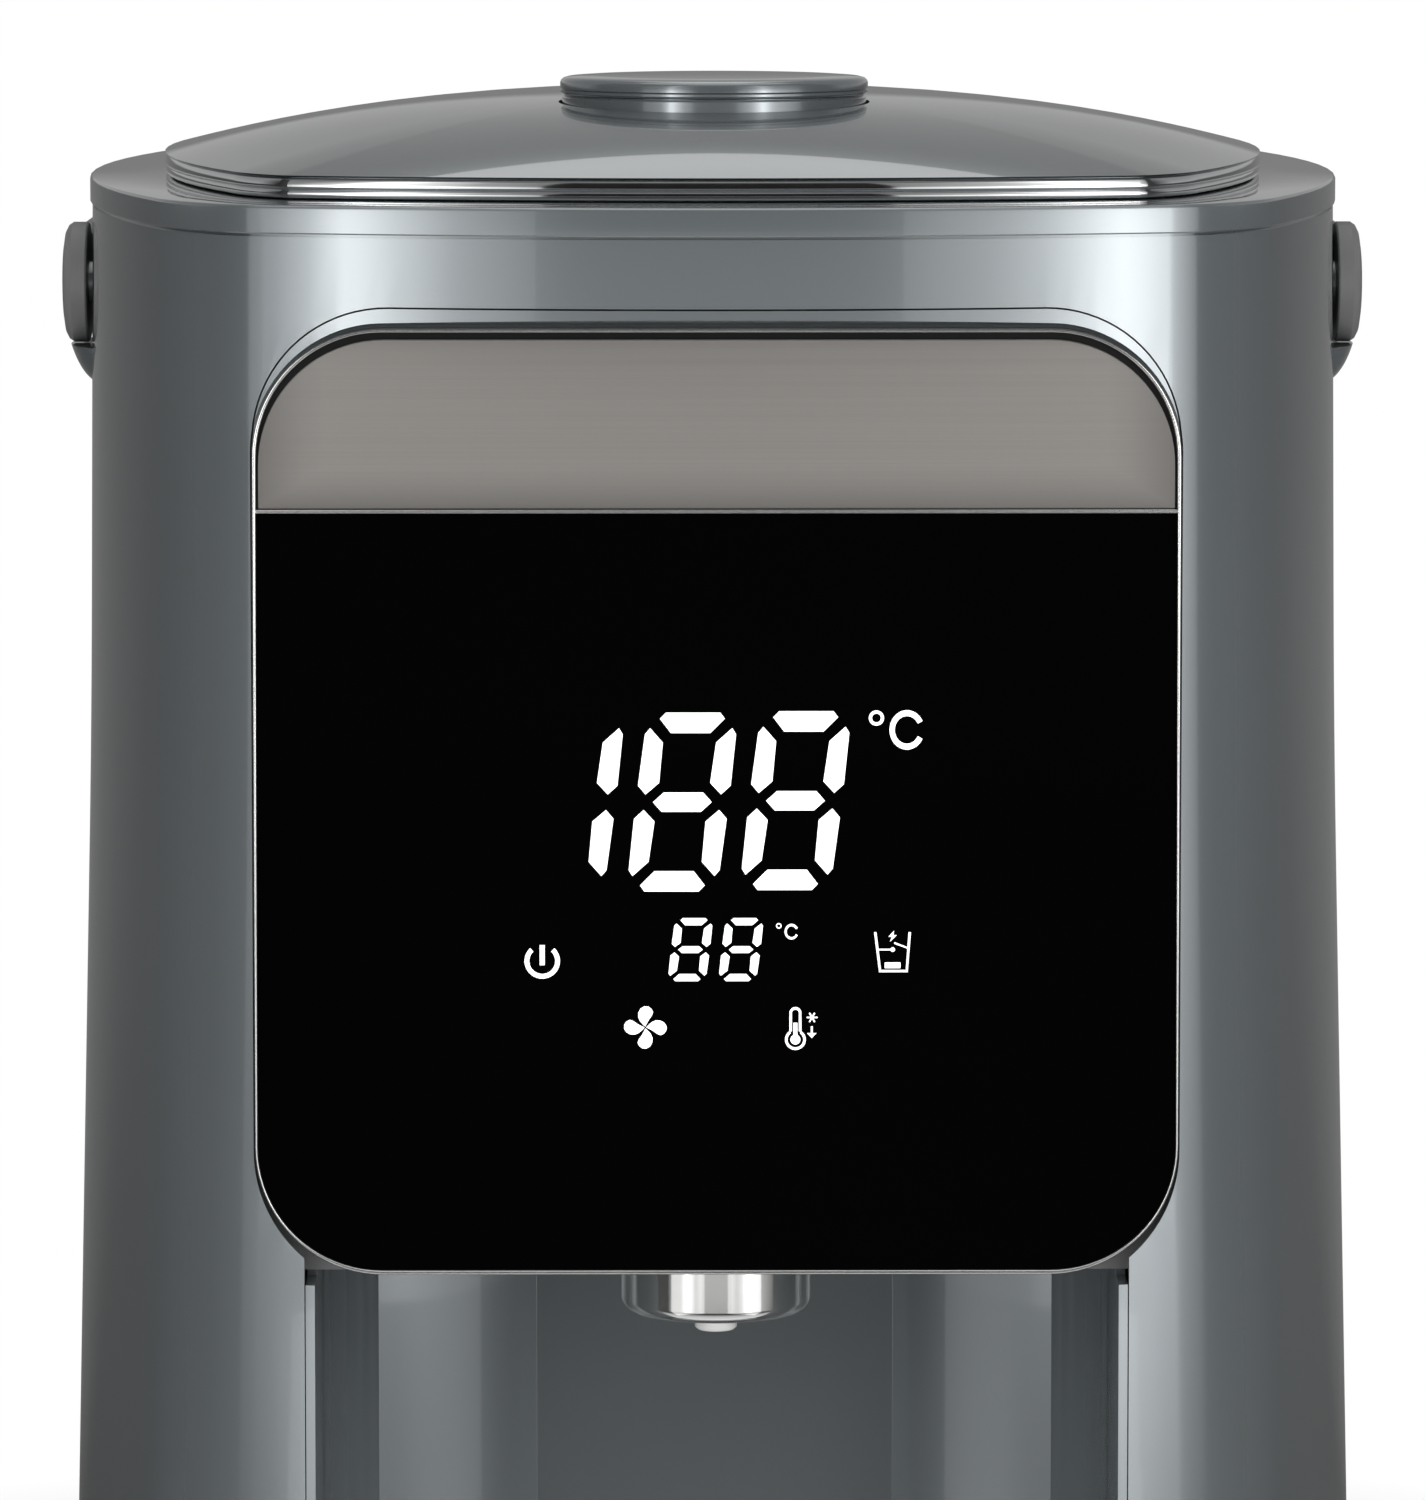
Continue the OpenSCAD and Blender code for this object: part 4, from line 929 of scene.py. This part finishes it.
tip_white = mottled("tip_moulding", rgb(0.72, 0.72, 0.70), rgb(0.80, 0.80, 0.78),
                    (300.0, 2.0, 1, 0), Roughness=0.25)
tip_r, tip_bore, tip_low = 3.9, 2.6, nozzle_low - 3.8
tip = lathe([(tip_bore, tip_low + 0.3), (tip_bore + 0.3, tip_low), (tip_r - 0.5, tip_low),
             (tip_r, tip_low + 0.5), (tip_r, nozzle_top), (tip_bore, nozzle_top)],
            (0, nozzle_y), 64)
fit(tip, "spout_end", "spout_white", tip_white, "spout_tip", sharp=50)

# ---- Cup bay ----
# Liner of the bay under the spout, in the same lacquer, with its own ceiling: a
# flat back between two soft swells. Its front edges stand in the shell's cut.
deck_top, bay_front, bay_back, bay_flat = 22, -190, -77, 33.7
swell_r, swell_from, swell_to, corner_from = 188, 31, 21, 40


def turned(angle, radius):
    return Vector((sin(radians(angle)), cos(radians(angle)), 0)) * radius


def mirror_across(bm):
    bmesh.ops.mirror(bm, geom=[*bm.verts, *bm.edges], axis="X", merge_dist=0.001)
    bmesh.ops.remove_doubles(bm, verts=bm.verts, dist=0.0005)


def raised(bm, height):
    """Closes an outline and raises it into a block."""
    cap(bm, bm.edges[:])
    thicken(bm, (0, 0, height))
    return stock(tidy(bm))


def bay_block(grow, z0, z1):
    """Closed block with the outline of the bay, its walls moved out by a margin."""
    bm = bmesh.new()
    back = [bm.verts.new((x, bay_back + grow, z0)) for x in (0, bay_flat)]
    crease = Vector((bay_flat, bay_back, z0))
    middle = crease + turned(swell_from, swell_r)
    end = middle - turned(swell_to, swell_r)
    corner_r = (bay_half - end.x) / (1 - sin(radians(corner_from)))
    first = bm.verts.new(crease + turned(swell_from, grow))
    last = spin_arc(bm, first, middle, swell_from - swell_to, 12)
    middle = end - turned(corner_from, corner_r)
    second = bm.verts.new(end + turned(corner_from, grow))
    tip = spin_arc(bm, second, middle, corner_from - 90, 14)
    front = [bm.verts.new((x, bay_front, z0)) for x in (bay_half + grow, 0)]
    for pair in (back, (back[1], first), (last, second), (tip, front[0]), front):
        bm.edges.new(pair)
    mirror_across(bm)
    return raised(bm, z1 - z0)


liner = bay_block(bay_wall - 0.12, deck_top, bay_top + 2)
machine(liner, bay_block(0, deck_top - 1, bay_top))
machine(liner, body_block((deck_top - 1, 60, 100, 140, bay_top + 3), 0.35), how="INTERSECT")
machine(liner, block((-90, -180, panel_top.z - panel_h - 1.5), (90, -134.5, 160)),
        rod(bay_top - 1, 160, nozzle_r + 0.1, (0, nozzle_y)))
fit(liner, "bay_lining", "body_paint", lacquer, "bay_liner", sharp=12, bevel=0.5, segments=3)

# ---- Handle bosses ----
# Small swellings of the body's side below each end of the handle, moulded
# with the shell.
side_x, pivot_z, handle_end_r = 121.29, 308, 11.75
for side, name in ((-1, "handle_boss_left"), (1, "handle_boss_right")):
    swell = bmesh.new()
    bmesh.ops.create_uvsphere(swell, u_segments=96, v_segments=64, radius=1)
    bmesh.ops.scale(swell, verts=swell.verts, vec=(8, 22, 20))
    shift(swell, (side * (side_x - 2), 0, pivot_z))
    for plane_at, facing in (((0, 0, pivot_z - handle_end_r - 0.15), (0, 0, 1)),
                             ((side * (side_x - 1.5), 0, 0), (-side, 0, 0))):
        slice_off(swell, plane_at, facing)
    fit(swell, name, "body_paint", lacquer, "handle_bosses", bevel=0.3)

# ---- Carry handle ----
# Flat bail of dark satin plastic that lies back round the pot at rest and
# turns up over the lid on two round ends.
handle_half, handle_inner, bail_rear, bail_t = 127.1, 122.09, 158.6, 9
bail_h, bail_corner = 9, 60


def bail_block(half, corner, rear, z0, z1):
    """Block with the outline of the bail, closed along the pivots."""
    bm = bmesh.new()
    first = bm.verts.new((half, 0, z0))
    second = bm.verts.new((half, rear - corner, z0))
    bm.edges.new((first, second))
    tip = spin_arc(bm, second, Vector((half - corner, rear - corner, z0)), 90, 20)
    last = bm.verts.new((0, rear, z0))
    bm.edges.new((tip, last))
    mirror_across(bm)
    bm.edges.new([v for v in bm.verts if abs(v.co.y) < 0.001])
    return raised(bm, z1 - z0)


bail = bail_block(handle_half - 0.6, bail_corner + 8.5, bail_rear, pivot_z - bail_h,
                  pivot_z + bail_h)
machine(bail, bail_block(handle_inner, bail_corner, bail_rear - bail_t, pivot_z - 20,
                         pivot_z + 20))
for side in (-1, 1):
    end = lathe([(0, 0), (handle_end_r - 0.3, 0), (handle_end_r, 0.3),
                 (handle_end_r, 3.0), (handle_end_r - 0.6, 3.9), (handle_end_r - 1.8, 4.5),
                 (handle_end_r - 4, 4.85), (0, 5.01)], sides=96)
    end_x = side * handle_inner
    machine(bail, placed(end, (end_x, 0, pivot_z), side * pi / 2, "Y"), how="UNION")
    machine(bail, cross_rod(end_x - 3.4, end_x + 3.4, 4.05, 0, pivot_z))
for k in range(-6, 7):
    machine(bail, cross_rod(7 * k - 1.3, 7 * k + 1.3, 1.2, bail_rear - bail_t / 2,
                            pivot_z - bail_h - 0.35, 24))
fit(bail, "handle", "dark_plastic", satin, "carry_handle", body="handle", bevel=1.1, segments=3)

# ---- Base ----
# Dark moulded pan under the shell that carries the works, with a round
# opening under the cooling fan and sockets for the screws of the tie rods.
foot_h, pan_floor = 3, 7
fan_at, cover_r = (18, 55), 50
pan = stock(body_block((foot_h, foot_h + 1, 8, shell_foot)))
machine(pan, body_block((pan_floor, shell_foot + 1), 3))
machine(pan, rod(0, 9, 46, fan_at), rod(0, foot_h + 2, cover_r + 0.3, fan_at))
for rod_at in ((88, -40), (-88, -40), (78, 97), (-78, 97)):
    machine(pan, rod(0, foot_h + 2, 5, rod_at))
fit(pan, "base", "dark_plastic", satin, "base_pan", bevel=0.9, segments=3)

grille = stock(rod(foot_h + 0.2, foot_h + 2, cover_r, fan_at))
for k in range(-4, 5):
    machine(grille, slot_cutter(22 - 1.5 * abs(k), 1.3, 1.25, -6, 6,
                                (fan_at[0], fan_at[1] + 5.6 * k, foot_h)))
fit(grille, "fan_grille", "dark_plastic", satin, "bottom_cover", bevel=0.25)

rubber = mottled("foot_rubber", rgb(0.018), rgb(0.036), (420.0, 4.0, 1, 0.2), rough=0.62,
                 relief=(0, 0.4, 0.00006), Specular_IOR_Level=0.3)
for k, at in enumerate(((78, -104), (-78, -104), (58, 122), (-58, 122), (0, -140))):
    pad = lathe([(0, 0.6), (4.2, 0.6), (4.6, 0), (8, 0), (8.7, 0.4), (9, 1.2), (9, foot_h),
                 (0, foot_h)], at, 64)
    fit(pad, f"foot_{k + 1}", "rubber", rubber, *(["feet"] if k == 0 else []))

# ---- Deck and drip tray ----
# Lacquered deck under the cup with a round tub in it; the tray lifts out of
# the tub and carries a brushed steel grid.
tub_r, tub_y, tub_back, tub_rim, tray_gap, tray_wall = 68.6, -141, bay_back - 4, 5, 0.6, 2


def tub_block(z0, z1, inset=0):
    """Round block with a flat rear that follows the body in front, drawn in by a margin."""
    bm = rod(z0, z1, tub_r - inset, (0, tub_y), 160)
    slice_off(bm, (0, tub_back - inset, 0), (0, 1, 0))
    made = stock(tidy(bm))
    machine(made, body_block((8, 60), tub_rim + inset), how="INTERSECT")
    return made


deck = bay_block(bay_wall - 0.15, pan_floor, deck_top)
within = stock(body_block((pan_floor - 1, shell_foot), 3.1))
machine(within, body_block((shell_foot - 0.01, 60), 1), how="UNION")
machine(deck, within, how="INTERSECT")
machine(deck, tub_block(10, deck_top + 1))
fit(deck, "cup_deck", "body_paint", lacquer, "tray_tub", bevel=0.35)

tray = tub_block(10.1, 24, tray_gap)
hollow = tub_block(12, 26, tray_gap + tray_wall)
for at in ((48, -110), (-48, -110), (50, -136), (-50, -136)):
    machine(hollow, rod(8, deck_top, 3, at, 32))
machine(tray, hollow)
fit(tray, "drip_pan", "dark_plastic", satin, "drip_tray", body="tray", bevel=0.4)

brushed = mottled("brushed_steel", rgb(0.50, 0.51, 0.52), rgb(0.63, 0.64, 0.65),
                  ((8.0, 1400.0, 1400.0), 4.0, 1, 0.18, 0.65), rough=0.22,
                  relief=(0, 0.10, 0.00002), Metallic=1.0, Anisotropic=0.5)
grid = tub_block(deck_top, 23.6, tray_gap + tray_wall + 0.2)
for k in range(-4, 4):
    machine(grid, slot_cutter(38 - 3 * abs(k), 1.6, 1.55, -9, 9, (0, 7 * k - 109, 23)))
fit(grid, "drip_grate", "steel", brushed, "drip_grid", body="grid", bevel=0.3)

# ---- Mains inlet ----
# Recessed three-pin socket at the foot of the back, in black moulding with a
# rounded frame and brass pins.
inlet_y = rear_y + 5
socket = stock(upright_plate(-25, 25, inlet_z - 17, inlet_z + 17, 4, inlet_y - 8, inlet_y - 5))
machine(socket, upright_plate(-20.6, 20.6, inlet_z - 13, inlet_z + 13, 3, inlet_y - 24,
                              inlet_y), how="UNION")
machine(socket, upright_plate(-14, 14, inlet_z - 9, inlet_z + 9, 2.5, inlet_y - 16,
                              inlet_y + 1))
fit(socket, "mains_socket", "dark_plastic", satin, "inlet_socket", bevel=0.5)

gilt = mottled("pin_brass", rgb(0.55, 0.41, 0.19), rgb(0.66, 0.52, 0.27), (700.0, 3.0, 1, 0.15),
               rough=0.2, Metallic=1.0)
for k, (x, lift) in enumerate(((-7, -2.5), (0, 2.5), (7, -2.5))):
    pin = placed(lathe([(0, 0), (1.6, 0), (1.6, 17.6), (1.1, 18.6), (0, 19)], sides=32),
                 (x, inlet_y - 28, inlet_z + lift), -pi / 2, "X")
    fit(pin, f"socket_pin_{k + 1}", "brass", gilt, *(["inlet_pins"] if k == 0 else []))

# ---- Inner pot ----
# Deep-drawn stainless pot, turned to a satin finish inside, with printed level
# marks, its silicone seal under the collar and a felt blanket round it.
def dress(finish, *nodes):
    """Gives CAD pieces that keep their own shape a finish."""
    for node in nodes:
        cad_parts[node].data.materials[0] = finish


pot_steel, shader, where = coat("turned_steel", Metallic=0.92, Anisotropic=0.35)
lines = noise(where, (14.0, 14.0, 2400.0), 4.0, 0.6)
mark_x, mark_half, mark_back, mark_low, mark_high = -0.045, 0.008, 0.06, 0.09, 0.29
height = where.part(2)
beside = where.sum("ABSOLUTE", where.part(0) - mark_x)
level_marks = (where.sum("FRACT", height * 40.0) > 0.93) * (beside * -1.0 > -mark_half) * (
    where.part(1) > mark_back) * (height > mark_low) * (height * -1.0 > -mark_high)
lay(shader, level_marks.mix(lines.mix(rgb(0.70, 0.71, 0.72), rgb(0.80, 0.81, 0.82)),
                            rgb(0.10, 0.10, 0.11)), lines * 0.16 + 0.24, (lines, 0.08, 0.00002))
dress(pot_steel, "inner_pot")

silicone = mottled("milky_silicone", rgb(0.62, 0.60, 0.56), rgb(0.74, 0.72, 0.68),
                   (60.0, 3.0, 1, 0.12), (1800.0, 2.0, 0, 0.08), rough=0.42,
                   relief=(1, 0.15, 0.00004), Specular_IOR_Level=0.4)
dress(silicone, "pot_seal", "lid_gasket", "vent_float", "pot_outlet_hose", "riser_hose")

felt, shader, where = coat("needled_felt", Specular_IOR_Level=0.15)
fibres = noise(where, (700.0, 700.0, 2200.0), 6.0, 0.7)
tufts = noise(where, 120.0, 3.0)
lay(shader, (fibres * 0.6 + tufts * 0.4).mix(rgb(0.46, 0.42, 0.34), rgb(0.70, 0.66, 0.56)),
    fibres * 0.1 + 0.85, (fibres + tufts, 0.8, 0.0003))
dress(felt, "insulation_sleeve")

# ---- Heater ----
# Cast aluminium plate clamped under the pot, with two glazed thermostats and a
# steel probe in its middle.
cast = mottled("cast_aluminium", rgb(0.38, 0.39, 0.40), rgb(0.54, 0.55, 0.56),
               (1100.0, 4.0, 0.4, 0.2), (45.0, 3.0, 0.6, 0), rough=0.42, relief=(0, 0.5, 0.00012),
               Metallic=1.0)
dress(cast, "heater_plate")

glaze = mottled("glazed_ceramic", rgb(0.64, 0.60, 0.53), rgb(0.80, 0.77, 0.71),
                (260.0, 4.0, 0.8, 0.15), (2600.0, 2.0, 0.2, 0), rough=0.28,
                relief=(0, 0.2, 0.00008), Coat_Weight=0.6, Coat_Roughness=0.08)
dress(glaze, "thermostats")

zinc, shader, where = coat("zinc_plated_steel", Metallic=1.0)
spangle, scuffs = flecks(where, 420.0), noise(where, 900.0, 4.0)
lay(shader, (spangle * 0.4 + scuffs * 0.6).mix(rgb(0.44, 0.46, 0.48), rgb(0.64, 0.65, 0.66)),
    scuffs * 0.22 + spangle * 0.06 + 0.22, (scuffs, 0.15, 0.00003))
dress(zinc, "heater_clamp", "temperature_probe")

# ---- Pump and hoses ----
# Centrifugal pump under the pot: black housing, steel motor can, pale impeller
# on the rotor's shaft, silicone hoses and a moulded elbow to the spout.
dress(satin, "pump_housing", "spout_elbow")
dress(zinc, "pump_motor", "motor_rotor")
pale = mottled("pale_moulding", rgb(0.48, 0.50, 0.49), rgb(0.57, 0.59, 0.58),
               (24.0, 3.0, 0.8, 0.10), (1700.0, 2.0, 0.2, 0.08), rough=0.36,
               relief=(1, 0.2, 0.00003), Specular_IOR_Level=0.45)
dress(pale, "pump_impeller")

# ---- Boards, keys and fan ----
# Green boards with copper tracks behind the panel and under the pot, a milky
# light block, touch springs, and the fan that cools the works.
green_board, shader, where = coat("solder_mask", Coat_Weight=0.4, Coat_Roughness=0.2)
cells = where.make("TexVoronoi", {"Vector": where, "Scale": 190.0}, distance="MANHATTAN")
weave = noise(where, 1400.0)
tracks = (cells > 0.44) * (cells * -1.0 > -0.56)
lay(shader, tracks.mix(weave.mix(rgb(0.010, 0.085, 0.035), rgb(0.018, 0.125, 0.052)),
                       rgb(0.050, 0.230, 0.100)),
    weave * 0.15 + 0.35, (tracks + weave * 0.3, 0.3, 0.00005))
dress(green_board, "display_board", "power_board")

milk_glass = mottled("milky_diffuser", rgb(0.78, 0.79, 0.77), rgb(0.87, 0.88, 0.86),
                     (80.0, 3.0, 1, 0), Roughness=0.35)
dress(milk_glass, "led_block")
dress(satin, "head_frame", "board_bracket", "fan_frame", "fan_rotor")

# ---- Lid works ----
# The lid's pale plug and steam tube, and the small steel parts of the works: the
# latch's bolt and keeper and the springs of the touch keys.
dress(pale, "lid_liner", "vent_tube")
dress(zinc, "latch_bolt", "latch_keeper", "touch_springs")

# ---- Button spring ----
# Short coil of steel wire that lifts the lid button. Both ends are ground flat.
wire_r, coil_r, coils, coil_steps = 0.4, 12.2, 2.25, 48
coil_low, coil_high, coil_shut = 338.4, 341.6, 0.6
lead = coil_high - coil_low - 2 * wire_r
bm = bmesh.new()
start = bmesh.ops.create_circle(bm, cap_ends=False, segments=12, radius=wire_r)["verts"]
bmesh.ops.rotate(bm, verts=start, cent=(0, 0, 0), matrix=Matrix.Rotation(pi / 2, 3, "X"))
shift(bm, (coil_r, button_y, coil_low + wire_r), start)
turns = int(coils * coil_steps)
bmesh.ops.spin(bm, geom=[*bm.verts, *bm.edges], cent=(0, button_y, 0), axis=(0, 0, 1),
               dvec=(0, 0, lead / turns), angle=2 * pi * coils, steps=turns,
               use_duplicate=False)
cap(bm, [e for e in bm.edges if e.is_boundary])
coil = fit(bm, "button_coil", "steel", zinc, "button_spring", body="lid")
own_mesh(coil)

# ---- Rods, pins and screws ----
# Plated steel rods that hold the collar, shell and base together, and the pins
# and screws of the lid, panel, handle and cover.
dress(zinc, "tie_rods", "cover_screws", "hinge_pin", "lid_screws", "panel_screws",
      "handle_pivots")
